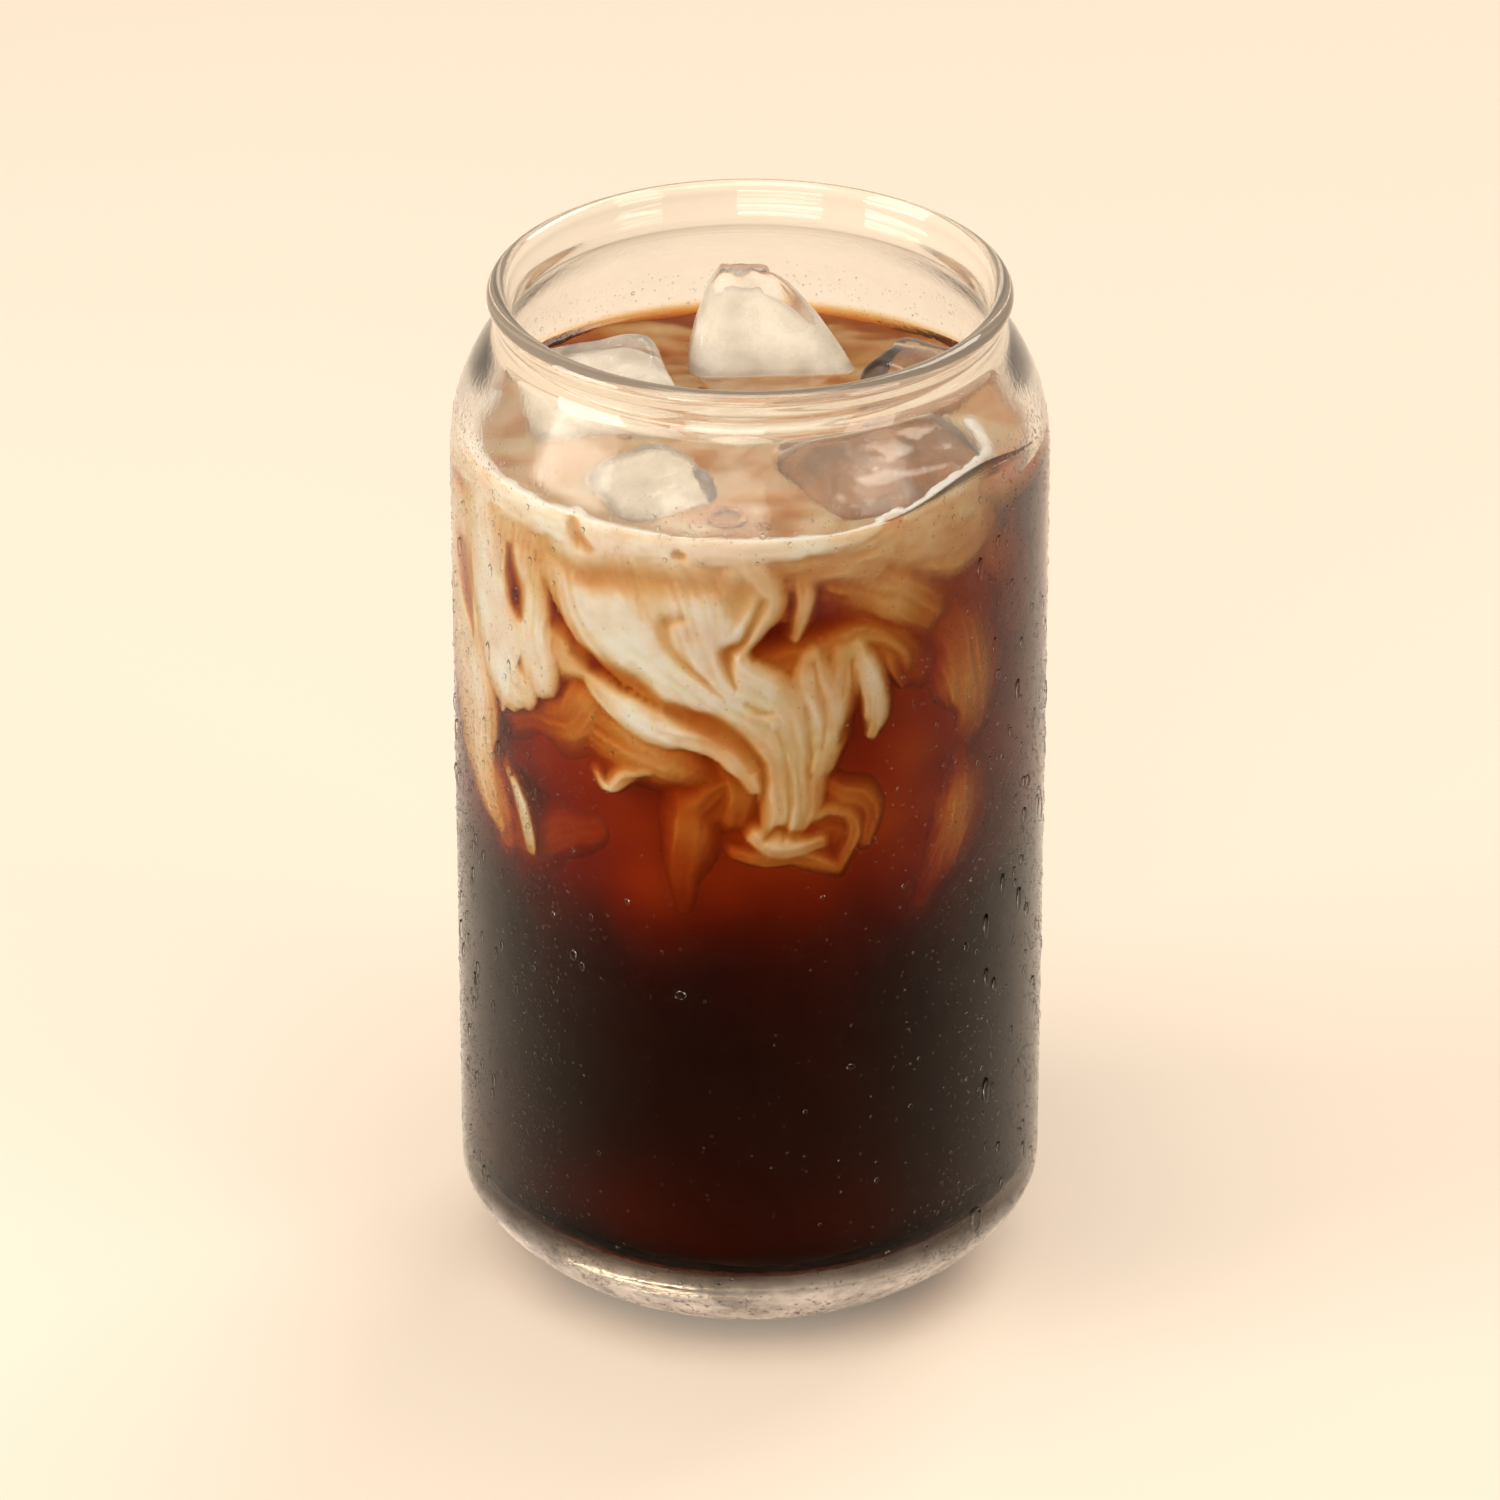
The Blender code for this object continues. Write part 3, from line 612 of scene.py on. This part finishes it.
# Grooves: a fold line, with its half width and how deep it cuts, in mm
GROOVES = {
    "hook_fold": [(-13, 105.4, .5, .3), (-16, 104.8, .9, .5), (-16.8, 102.6, 1.1, .45), (-14.5, 100, .9, .5),
            (-11, 97.6, .5, .6), (-7, 95.6, .3, .4), (-4.5, 94.4, .2, .2)],
    "short_fold": [(2.5, 107.5, .6, .5), (.5, 104.8, .5, .7), (-1.8, 102.2, .5, .9), (-4.8, 100.6, .9, 1.1),
            (-4.2, 98.2, .6, .7), (-2.5, 96.2, .3, .4)],
    "valley": [(-37, 97.6, 1.0, .7), (-31, 96.6, 1.2, .8), (-24, 95.2, 1.2, .9), (-19, 93.3, .9, .7),
            (-13, 92.3, .7, .9), (-6, 91, .9, 1.1), (-1.5, 88.6, .7, .9), (1.8, 85.3, .6, .8),
            (2.6, 82, .4, .6), (2.2, 80, .3, .4)],
    "valley_low": [(-17, 92, .5, .5), (-9, 90.2, 1.2, .7), (-3, 87.8, .8, .6), (0, 85, .5, .4)],
    "thread_a": [(0, 94, .25, .35), (2.5, 92.8, .3, .4), (5, 92.6, .25, .3)],
    "thread_b": [(13, 99, .3, .4), (14.2, 95, .35, .35), (15, 91, .3, .3), (14.5, 87, .25, .3)],
    "thread_c": [(20.5, 98.5, .3, .5), (21, 94.5, .5, .8), (20.5, 91, .7, 1.0), (18.5, 88, .5, .8)],
    "thread_d": [(6, 90, .3, .25), (7, 85, .35, .25), (7.5, 80, .3, .25), (7.4, 77, .2, .2)],
    "thread_e": [(11.5, 93, .3, .25), (12.5, 88, .3, .3), (12, 83, .25, .3)],
    "tail_fold": [(3.6, 75.6, .4, .8), (6, 76.4, .6, 1.4), (9, 75.6, .5, 1.0), (13, 75.8, .3, .7)],
    "slit_left": [(-57.5, 107.5, .8, 1.0), (-56.5, 104, 1.3, 1.8), (-55, 101, 1.1, 2.0), (-54, 99, .5, 1.2)],
    "slit_edge": [(-84, 102, 1.2, .9), (-82.5, 98, 1.5, 1.3), (-80, 94, .9, 1.0), (-79, 91.5, .5, .5)],
    "speck_a": [(-39, 114.6, .8, .7), (-37, 113.2, .9, .8), (-34, 112.4, .6, .5)],
    "speck_b": [(-15.2, 113.4, .5, .9), (-13.8, 113.2, .5, .9)],
    "yellow_a": [(-44, 110, 1.0, .3), (-36, 108.6, 1.6, .5), (-28, 109.2, 2, .5), (-18, 109.6, 1.6, .4),
            (-8, 109.4, 1.4, .3)],
    "shade_a": [(-1.5, 109, 1.6, .5), (-2.5, 106.5, 1.2, .3)],
}

print(len(STROKES), "strokes and", len(GROOVES), "grooves")

# %% [markdown]
# ## From strokes to depth
# Wall and coffee bend light, so a plume drawn where it looks to be has to stand somewhere else: Snell's
# law, once at the outside and once at the inside of the wall, gives the true turn. The depth at a point
# comes from the nearest stroke, and noise that is drawn out along the stroke gives the silky threads.

# %% Cream depth
ARC = math.radians(1) * INSIDE / MM     # mm of wall in one degree
DEEPEST = 11.0                          # mm, where the coffee hides the cream
PATCHES = 0.30                          # mm, how far back the caramel patches of a plume lie
SOFT = 0.15                             # mm, how softly two strokes meet
SEEN_LIMIT, PAST_LIMIT = 80.0, 1.4      # degrees: past this nothing is seen, and turns are only spread


def behind_wall(turn, behind):
    """The true turn of what is seen at a turn, some mm behind the wall."""
    seen = min(abs(turn), SEEN_LIMIT)
    across = math.sin(math.radians(seen)) * (INSIDE - 0.3 * MM)
    in_glass, in_coffee = across / GLASS_IOR, across / WATER_IOR
    true = math.asin(across / BODY_RADIUS) + math.asin(in_glass / INSIDE) - math.asin(in_glass / BODY_RADIUS)
    true += math.asin(min(in_coffee / (INSIDE - min(behind, 6.0) * MM), 1.0)) - math.asin(in_coffee / INSIDE)
    return math.copysign(math.degrees(true) + max(0.0, abs(turn) - SEEN_LIMIT) * PAST_LIMIT, turn)


def smooth_path(stations, steps=7):
    """Catmull-Rom points through the stations of a stroke."""
    points = [np.array(station, float) for station in stations]
    ends = [2 * points[0] - points[1]] + points + [2 * points[-1] - points[-2]]
    path = []
    for a, b, c, d in zip(ends, ends[1:], ends[2:], ends[3:]):
        for t in np.arange(steps) / steps:
            path.append(0.5 * (2 * b + (c - a) * t + (2 * a - 5 * b + 4 * c - d) * t ** 2
                               + (3 * b - a - 3 * c + d) * t ** 3))
    return np.array(path + [points[-1]])


def follow(points, stations):
    """For each point on the wall: distance to the path, half width and depth there, and how far along it is."""
    path = smooth_path(stations)
    line = np.column_stack([path[:, 0] * ARC, path[:, 1]])
    best = np.full(len(points), 1e9)
    width, depth, along, across = (np.zeros(len(points)) for _ in range(4))
    walked = 0.0
    for (a, b), (start, end) in zip(zip(line, line[1:]), zip(path, path[1:])):
        step = b - a
        length = np.hypot(*step)
        share = np.clip(((points - a) @ step) / max(length ** 2, 1e-9), 0, 1)
        offset = points - a - share[:, None] * step
        distance = np.hypot(offset[:, 0], offset[:, 1])
        nearer = distance < best
        best[nearer] = distance[nearer]
        width[nearer] = (start[2] + (end[2] - start[2]) * share)[nearer]
        depth[nearer] = (start[3] + (end[3] - start[3]) * share)[nearer]
        along[nearer] = walked + (share * length)[nearer]
        across[nearer] = ((offset[:, 0] * step[1] - offset[:, 1] * step[0]) / max(length, 1e-9))[nearer]
        walked += length
    return best, np.maximum(width, 0.15), depth, along, across


def cream_depth(turns, heights, strokes, grooves):
    """Depth of the cream behind the wall in mm, for points given by turn and height."""
    wander_x, wander_y = (
        np.array([1.1 * ripple(t * ARC / 9, h / 9, key) + 0.4 * ripple(t * ARC / 2.6, h / 2.6, key + 2)
                  + 0.18 * ripple(t * ARC, h, key + 4) for t, h in zip(turns, heights)]) for key in (3, 17))
    patches = np.array([ripple(t * ARC / 8, h / 13, 41) + 0.5 * ripple(t * ARC / 3, h / 6, 43)
                        for t, h in zip(turns, heights)])
    points = np.column_stack([turns * ARC + 0.6 * wander_x, heights + 0.6 * wander_y])
    depth = np.full(len(points), DEEPEST + 3.0)
    flow = np.zeros((len(points), 2))
    for number, (stations, roll, fall) in enumerate(strokes.values()):
        distance, width, base, along, across = follow(points, stations)
        edge = distance / width
        here = base + roll * np.clip(edge, 0, 1) ** 4 + fall * np.maximum(distance - width, 0)
        wins = here < depth
        flow[wins] = np.column_stack([along, across + 7 * number])[wins]
        depth = np.minimum(depth, here) - SOFT * np.exp(-np.abs(depth - here) / SOFT) * 0.5
    threads = np.array([ripple(a / 7, c * 1.2, 1) + 0.7 * ripple(a / 5, c * 2.8, 9)
                        + 0.45 * ripple(a / 2, c * 5.5, 23) for a, c in flow])
    depth = depth - 0.12 + 0.11 * threads * (1 + 1.6 * np.clip(depth, 0, 2)) * np.exp(-(depth / 3.0) ** 4)
    below_surface = 1 - 0.75 * smoothstep(109, 113, heights)
    depth = depth + PATCHES * np.clip(patches - 0.05, 0, 1) * np.exp(-depth) * below_surface
    for stations in grooves.values():
        distance, width, cut, _, _ = follow(points, stations)
        depth = depth + cut * np.exp(-(distance / width) ** 2)
    return np.clip(depth, 0.02, DEEPEST + 3.0)


print("seen at 50 degrees, cream at the wall stands at", round(behind_wall(50, 0), 1), "degrees")

# %% [markdown]
# ## Cream sheets
# The grid is finer in front, where the plumes are drawn closely, than at the back. Faces that lie
# deeper than the coffee lets the eye see are dropped, and what is left gets a thickness inwards.

# %% Cream sheet
CREAM_LOW, CREAM_TOP, BACK_TOP = 58.0, 115.6, 112.0
CREAM_THICKNESS = 1.2 * MM


def cream_sheet(first, last, top, columns, rows, strokes, grooves, seen_through_wall):
    """A grid from one turn to another, pushed back from the wall by the depth of the cream."""
    mesh_data = bmesh.new()
    bmesh.ops.create_grid(mesh_data, x_segments=columns, y_segments=rows, size=0.5)
    verts = list(mesh_data.verts)
    turns = np.array([first + (vert.co.x + 0.5) * (last - first) for vert in verts])
    heights = np.array([CREAM_LOW + (vert.co.y + 0.5) * (top - CREAM_LOW) for vert in verts])
    depth = cream_depth(turns, heights, strokes, grooves)
    for vert, turn, height, behind in zip(verts, turns, heights, depth):
        true_turn = behind_wall(turn, behind) if seen_through_wall else turn
        z = height * MM + climb(true_turn) * float(smoothstep(RISE_START, LEVEL, height * MM))
        radius, place = inner_radius(z) - behind * MM, math.radians(true_turn)
        vert.co = (radius * math.sin(place), -radius * math.cos(place), z)
    deep = {vert for vert, behind in zip(verts, depth) if behind > DEEPEST}
    hidden = [face for face in mesh_data.faces if any(vert in deep for vert in face.verts)]
    bmesh.ops.delete(mesh_data, geom=hidden, context="FACES")
    bmesh.ops.recalc_face_normals(mesh_data, faces=mesh_data.faces)
    middle = mesh_data.faces[:][len(mesh_data.faces) // 2]
    if middle.normal.dot(middle.calc_center_median() * Vector((1, 1, 0))) < 0:
        bmesh.ops.reverse_faces(mesh_data, faces=mesh_data.faces)
    bmesh.ops.solidify(mesh_data, geom=mesh_data.faces[:], thickness=CREAM_THICKNESS)
    return mesh_data


# %% Cream material
cream_material, tree = new_material("single cream, sinking in coffee")
where = add(tree, "TexCoord").outputs["Object"]
clouds = add(tree, "TexNoise", Vector=where, Scale=1 / (7 * MM), Detail=4.0, Roughness=0.6)
patch = add(tree, "MapRange", Value=clouds.outputs["Fac"], From_Min=0.35, From_Max=0.62)
tone = add(tree, "Mix", {"data_type": "RGBA"}, Factor=patch,
           A=linear("#ECCEBE"), B=linear("#FFEDE2"))
# light goes a few millimetres into cream, and red goes furthest
shader = add(tree, "BsdfPrincipled", Base_Color=tone.outputs["Result"], Roughness=0.5, IOR=1.35,
             Subsurface_Weight=0.85, Subsurface_Radius=(1.0, 0.7, 0.45), Subsurface_Scale=3.2 * MM)
add(tree, "OutputMaterial", Surface=shader)
print("cream scatters light over", [round(3.2 * share, 1) for share in (1.0, 0.7, 0.45)], "mm")

# %% Cream front
columns, rows = 350, 136
front = to_object("cream_front", cream_sheet(-100, 77, CREAM_TOP, columns, rows, STROKES, GROOVES, True),
                  cream_material)
cut_room(front, ice_tools(FLOATING, ICE_GAP), cream_material)

# %% Cream back
# copies of the drawing for the far side: name, turn, share of its breadth and of its fall
FAR_COPIES = (("back", 180, 1.0, 0.85), ("side", -112, 0.55, 0.6))
FALL_FROM = 113                 # mm, the height that the falls are measured from


def turned_copy(stations, turn, breadth, fall):
    return [(turn + a * breadth, FALL_FROM - (FALL_FROM - h) * (fall if h < FALL_FROM else 1), w * breadth, d)
            for a, h, w, d in stations]


back_strokes, back_grooves = {}, {}
for place, *change in FAR_COPIES:
    back_strokes.update({place + key: (turned_copy(stations, *change), roll, fall_away)
                         for key, (stations, roll, fall_away) in STROKES.items() if not key.endswith("band")})
    back_grooves.update({place + key: turned_copy(stations, *change) for key, stations in GROOVES.items()})
back_strokes["haze"] = ([(54, 111, 5, 2.2), (62, 104, 6, 2.3), (70, 96, 5, 2.8)], 0.6, 0.45)
back = to_object("cream_back", cream_sheet(62, 263, BACK_TOP, 240, 90, back_strokes, back_grooves, False),
                 cream_material)
cut_room(back, ice_tools(FLOATING, ICE_GAP), cream_material)

# %% [markdown]
# ## Cream at the surface
# At the surface the cream lies as a thin uneven layer just under the coffee, and the ice pokes through
# it. It is a turned disc with a noisy top: thin over the swirls, and deeper, so browner, towards the back.
# At the left front it is raised nearer the surface, which makes it whiter there: a painted highlight.

# %% Cream layer
LAYER_RINGS, LAYER_STEPS, LAYER_DEPTH = 70, 200, 3 * MM
rings = [(step / LAYER_RINGS) * (inner_radius(LEVEL) - 0.9 * MM) for step in range(1, LAYER_RINGS + 1)]
layer_mesh = turned([(0, LEVEL)] + [(radius, LEVEL) for radius in rings]
                    + [(rings[-1], LEVEL - LAYER_DEPTH), (0, LEVEL - LAYER_DEPTH)], LAYER_STEPS)
for vert in layer_mesh.verts:
    if vert.co.z > LEVEL - 1 * MM:
        x, y = vert.co.x / MM, vert.co.y / MM
        bend = 6 * ripple(x / 14, y / 14, 2)
        swirl = ripple((x + bend) / 9, (y - bend) / 5, 4) + 0.5 * ripple((x - bend) / 3.5, (y + bend) / 3, 8)
        back_share = float(smoothstep(2, 20, y + 0.25 * x))
        # a spot at the left front where the cream is raised nearer the surface, so less coffee lies over it and
        # it shows whiter: a painted highlight
        painted_highlight_spot = math.exp(-((x + 17) ** 2 + (y + 15) ** 2) / 100)
        sink = 0.2 + 0.9 * max(0, swirl + 0.1) * (1 - 0.8 * painted_highlight_spot) + (0.45 + 0.5 * swirl) * back_share
        lift = climb(turn_of(x, y)) * math.exp(-max(0, top_radius - math.hypot(x, y) * MM) / RISE_REACH)
        vert.co.z = LEVEL - sink * MM + lift
layer = to_object("cream_layer", layer_mesh, cream_material)
cut_room(layer, ice_tools(FLOATING, ICE_GAP), cream_material)
for sheet, *nodes in ((layer,), (back,), (front, "cream")):
    keep_piece(sheet, "cream", *nodes)

# %% [markdown]
# ## Bubbles
# A few bubbles rest at the front of the surface. Each is a flattened dome of thin film, which hardly
# bends light, in a collar of coffee that the film draws up: that brown ring is what the eye finds.

# %% Bubble materials
def clear_material(name, colour, roughness, ior, sheen=(1, 1, 1)):
    """Something clear with nothing in it: the film of a bubble, a drop of water."""
    made, tree = new_material(name)
    shader = add(tree, "BsdfPrincipled", Base_Color=linear(colour), Roughness=roughness, IOR=ior,
                 Transmission_Weight=1.0, Specular_Tint=tuple(sheen) + (1.0,))
    add(tree, "OutputMaterial", Surface=lets_lamps_through(tree, shader))
    return made


skin_material = clear_material("skin of a bubble", "#FFF3E0", 0.02, 1.08)
collar_material, tree = new_material("coffee drawn up round a bubble")
where = add(tree, "TexCoord").outputs["Object"]
stain = add(tree, "TexNoise", Vector=where, Scale=1 / (1.5 * MM))
tone = add(tree, "Mix", {"data_type": "RGBA"}, Factor=stain.outputs["Fac"],
           A=linear("#7A3E14"), B=linear("#C98A4A"))
shader = add(tree, "BsdfPrincipled", Base_Color=tone.outputs["Result"], Roughness=0.12, IOR=WATER_IOR)
add(tree, "OutputMaterial", Surface=shader)

# %% Bubbles
# middle across and back, and radius, in mm
BUBBLES = ((-2.6, -26.2, 1.9), (1.6, -28.4, 0.7), (-15.5, -6.4, 0.8), (9.0, 3.5, 1.0), (-6.0, 8.6, 0.9),
           (1.0, -28.0, 0.45))
DOME_HEIGHT = 0.75                                  # these four are shares of the radius
COLLAR_AT, COLLAR_BREADTH, COLLAR_HEIGHT = 1.02, 0.24, 0.22
bubble_mesh, loose = bmesh.new(), bpy.data.meshes.new("collar")
for x, y, radius in BUBBLES:
    place = Matrix.Translation(Vector((x * MM, y * MM, LEVEL))) @ Matrix.Scale(radius * MM, 4)
    dome = bmesh.ops.create_uvsphere(bubble_mesh, u_segments=24, v_segments=14, radius=1)["verts"]
    bmesh.ops.scale(bubble_mesh, vec=(1, 1, DOME_HEIGHT), verts=dome)
    bmesh.ops.transform(bubble_mesh, matrix=place, verts=dome)
    angles = [math.radians(angle) for angle in range(0, 361, 30)]
    collar = turned([(COLLAR_AT * radius * MM + COLLAR_BREADTH * radius * MM * math.cos(angle),
                      COLLAR_HEIGHT * radius * MM * math.sin(angle)) for angle in angles], 32)
    for face in collar.faces:
        face.material_index = 1
    bmesh.ops.translate(collar, vec=(x * MM, y * MM, LEVEL), verts=collar.verts)
    collar.to_mesh(loose)
    collar.free()
    bubble_mesh.from_mesh(loose)
bpy.data.meshes.remove(loose)
keep_piece(to_object("bubbles", bubble_mesh, skin_material, collar_material), "cold_brew")

# %% [markdown]
# ## Cloud in the coffee
# Fine grounds and the first cream have clouded the middle of the drink. Light that gets that deep
# comes back as a dull red-brown glow, and without it the coffee would be plain black. One turned
# body with an uneven skin stands for the cloud: nearer the wall where cream has mixed in, deeper
# and darker towards the foot.

# %% Cloud material
cloud_material, tree = new_material("clouded coffee")
where = add(tree, "TexCoord").outputs["Object"]
height = add(tree, "SeparateXYZ", Vector=where).outputs["Z"]
creamy = add(tree, "MapRange", {"interpolation_type": "SMOOTHSTEP"}, Value=height,
             From_Min=42 * MM, From_Max=70 * MM)
tone = add(tree, "Mix", {"data_type": "RGBA"}, Factor=creamy,
           A=linear("#7A5030"), B=linear("#F0DCC0"))
shader = add(tree, "BsdfDiffuse", Color=tone.outputs["Result"])
add(tree, "OutputMaterial", Surface=shader)

# %% Cloud shape
CLOUD_LOW, CLOUD_TOP, CLOUD_STEPS = 7.2 * MM, 95 * MM, 120
cloud_line = [(inner_radius(z), z) for z in spaced(CLOUD_LOW + 0.6 * MM, CLOUD_TOP, 52)]
cloud_mesh = turned([(0, CLOUD_LOW), (INSIDE * 0.5, CLOUD_LOW)] + cloud_line
                    + [(INSIDE * 0.5, CLOUD_TOP), (0, CLOUD_TOP)], CLOUD_STEPS)
for vert in cloud_mesh.verts:
    radius, z = math.hypot(vert.co.x, vert.co.y), vert.co.z / MM
    if radius > 0.52 * INSIDE:
        billow = 1.7 * ripple(*(vert.co / (13 * MM))) + 0.6 * ripple(*(vert.co / (5 * MM)))
        behind = 8.0 - 4.6 * float(smoothstep(48, 68, z)) - 3.8 * float(smoothstep(34, 14, z)) + billow
        share = 1 - behind * MM / radius
        vert.co.x *= share
        vert.co.y *= share
cloud = to_object("cloud", cloud_mesh, cloud_material)
cut_room(cloud, ice_tools(SUNK, -ICE_GAP), cloud_material)
keep_piece(cloud, "cold_brew")

# %% [markdown]
# ## Condensation
# Cold glass gathers water: a mist of fine beads everywhere, larger beads where they have met, and
# runs where a drop grew heavy. One twenty-sided bead, flattened against the wall, is enough for each.
# Particles would do it too, but plain joined meshes are the same in every run and every program.

# %% Condensation
water = clear_material("condensed water", "#FFFFFF", 0.05, 1.18, sheen=(0.26, 0.19, 0.13))


def bead_place(turn, height, width, length, proud):
    """The matrix that lays a ball of radius 1 on the outside, flattened, with part of it in the wall."""
    angle, z, step = math.radians(turn), height * MM, 0.1 * MM
    slope = (outer_radius(z + step) - outer_radius(z - step)) / (2 * step)
    out = Vector((math.sin(angle), -math.cos(angle), -slope)).normalized()
    sideways = Vector((math.cos(angle), math.sin(angle), 0))
    axes = Matrix((sideways * width / 2, out.cross(sideways) * length / 2, out * proud)).transposed() * MM
    centre = Vector((outer_radius(z) * math.sin(angle), -outer_radius(z) * math.cos(angle), z))
    return Matrix.Translation(centre + out * 0.25 * proud * MM) @ axes.to_4x4()


def scatter(name, drops):
    """One joined mesh of beads, made a handful at a time, because operators slow down on a big mesh."""
    joined, handful = bmesh.new(), bpy.data.meshes.new("handful")
    for first in range(0, len(drops), 250):
        some = bmesh.new()
        for drop in drops[first:first + 250]:
            bmesh.ops.create_icosphere(some, subdivisions=1, radius=1.0, matrix=bead_place(*drop))
        some.to_mesh(handful)
        some.free()
        joined.from_mesh(handful)
    bpy.data.meshes.remove(handful)
    keep_piece(to_object(name, joined, water), "clear_glass")


draw = random.Random(5)


def mist(count, small, large, low=4, high=119):
    """Fine drops: patchy, thickest at the sides, on the shoulder and on the foot, and thin in front."""
    drops = []
    while len(drops) < count:
        turn, height = draw.uniform(-180, 180), draw.uniform(low, high)
        patch = 0.5 + 0.9 * ripple(math.radians(turn) * 3.2, height / 22, 6)
        shoulder = 0.5 * math.exp(-((height - 117) / 7) ** 2)
        sides = 0.03 + 0.97 * math.sin(math.radians(turn)) ** 4
        if height > 98 and draw.random() < 0.5:
            continue
        chance = max(sides, float(smoothstep(17, 10, height)), 0.5 * shoulder)
        if draw.random() > (patch + shoulder + 0.15) * chance:
            continue
        size = small + (large - small) * draw.random() ** 3
        drops.append((turn, height, size, size * draw.uniform(1, 1.35), size * draw.uniform(0.16, 0.24)))
    return drops


# %% Mist
# name, how many, least and most width in mm, lowest and highest place in mm
MISTS = (("mist_fine", 9500, 0.2, 0.42), ("mist_fine_lower", 9500, 0.2, 0.42, 3, 80),
         ("mist_fine_upper", 8000, 0.18, 0.36, 60, 121), ("mist_beads", 3000, 0.32, 0.8))
for name, count, *sizes in MISTS:
    scatter(name, mist(int(count * (1.0)), *sizes))

# %% Drops and runs
# lone drops in front: turn, height, width in mm, and length over width
LONE_DROPS = ((-36, 56.4, 1.1, 1.5), (-34, 55.2, 0.8, 1.8), (-13.3, 54.2, 1.6, 0.8), (52.3, 56.4, 0.9, 4.5),
              (52.8, 49.0, 0.9, 3.6), (53.1, 32.7, 1.1, 4.0), (19.7, 43.4, 1.3, 0.7), (45.6, 80.3, 0.8, 1.6),
            (49.0, 80.0, 0.8, 1.5), (53.0, 79.4, 0.8, 1.8), (57.0, 78.8, 0.8, 1.6), (50.5, 14.6, 2.0, 2.2),
            (58.0, 60.5, 0.8, 5.0), (38.0, 88.0, 0.6, 1.8), (-41, 61.0, 0.7, 1.2), (-24, 66.0, 0.8, 1.2))
RUNS, RUN_PROUD, LONE_PROUD = 180, 0.26, 0.3        # how many; how proud of the wall, as a share of the width
runs = []
for _ in range(RUNS):
    turn = draw.choice([draw.gauss(70, 12), draw.gauss(-70, 10), draw.uniform(75, 285)])
    height, size = draw.uniform(15, 112), draw.uniform(0.5, 1.0)
    runs.append((turn, height, size, size * draw.uniform(1.6, 4.2), size * RUN_PROUD))
runs += [(turn, height, size, size * stretch, size * LONE_PROUD) for turn, height, size, stretch in LONE_DROPS]
scatter("drops_and_runs", runs)

# %% [markdown]
# ## Table and light
# A pale warm table and soft lamps. Glass shows its surroundings, so a wide soft lamp low on the left
# gives the shoulder its highlight, and the dim side of the room draws the darker line round the rim.

# %% Table
floor_material, tree = new_material("pale matt table")
shader = add(tree, "BsdfPrincipled", Base_Color=linear("#E8DACB"), Roughness=0.9)
add(tree, "OutputMaterial", Surface=shader)
floor_mesh = bmesh.new()
bmesh.ops.create_grid(floor_mesh, x_segments=1, y_segments=1, size=3.0)
bmesh.ops.translate(floor_mesh, verts=floor_mesh.verts, vec=(0, 0, -0.1 * MM))
floor = to_object("table", floor_mesh, floor_material)
print("the table lies 0.1 mm under the glass")

# %% Light
world = bpy.data.worlds.new("soft room")
bpy.context.scene.world = world
world.use_nodes = True
world.node_tree.nodes["Background"].inputs["Color"].default_value = linear("#FFF3E2")
world.node_tree.nodes["Background"].inputs["Strength"].default_value = 0.52
# place in metres, height aimed at, breadth, height and power in watts
LAMPS = {"window_left": ((-0.80, -0.25, 0.28), 0.09, 0.5, 0.45, 5.5),
         "sky_panel": ((0.0, -0.1, 1.1), 0.05, 0.7, 0.7, 5),
         "back_panel": ((0.45, 0.75, 1.0), 0.12, 0.6, 0.4, 5),
         "front_panel": ((-0.30, -1.2, 0.24), 0.09, 0.9, 0.4, 8),
         "fill_right": ((0.8, -0.6, 0.35), 0.08, 0.4, 0.5, 3)}
for name, (place, aim, breadth, height, power) in LAMPS.items():
    data = bpy.data.lights.new(name, "AREA")
    data.shape, data.size, data.size_y = "RECTANGLE", breadth, height
    data.energy, data.color = power, linear("#FFF8EE")[:3]
    lamp = bpy.data.objects.new(name, data)
    lamp.location = place
    lamp.rotation_euler = (Vector((0, 0, aim)) - Vector(place)).to_track_quat("-Z", "Y").to_euler()
    bpy.context.scene.collection.objects.link(lamp)
print(len(LAMPS), "lamps,", sum(lamp[-1] for lamp in LAMPS.values()), "W")

# %% [markdown]
# ## Camera
# A long lens, a metre away and 28 degrees above level, keeps the mouth's ellipse and the upright sides
# nearly free of perspective. Depth of field stays off.

# %% Camera
CAMERA_DISTANCE, CAMERA_ELEVATION, AIM_HEIGHT = 1042.2 * MM, 28.05, 66.7 * MM
FOCAL_PIXELS, FRAME_PIXELS, AIM_BELOW_CENTRE = 8317, 1500, 16.8
tilt = math.radians(CAMERA_ELEVATION)
lens = bpy.data.cameras.new("camera")
lens.sensor_width = 36.0
lens.lens = FOCAL_PIXELS / FRAME_PIXELS * lens.sensor_width
lens.shift_y = AIM_BELOW_CENTRE / FRAME_PIXELS
lens.clip_start, lens.clip_end = 0.05, 20
camera = bpy.data.objects.new("camera", lens)
camera.location = (0, -CAMERA_DISTANCE * math.cos(tilt), AIM_HEIGHT + CAMERA_DISTANCE * math.sin(tilt))
camera.rotation_euler = (math.pi / 2 - tilt, 0, 0)
bpy.context.scene.collection.objects.link(camera)
bpy.context.scene.camera = camera
print("lens of", round(lens.lens), "mm")

# %% [markdown]
# ## Light paths
# Light crosses many clear layers here, glass twice, coffee, ice and film, so paths are long. Caustics
# would only add noise.

# %% Light paths
bpy.context.scene.view_settings.view_transform = "Standard"
cycles = bpy.context.scene.cycles
cycles.max_bounces, cycles.transmission_bounces, cycles.transparent_max_bounces = 20, 16, 24
cycles.diffuse_bounces, cycles.glossy_bounces = 3, 4
cycles.caustics_reflective = cycles.caustics_refractive = False
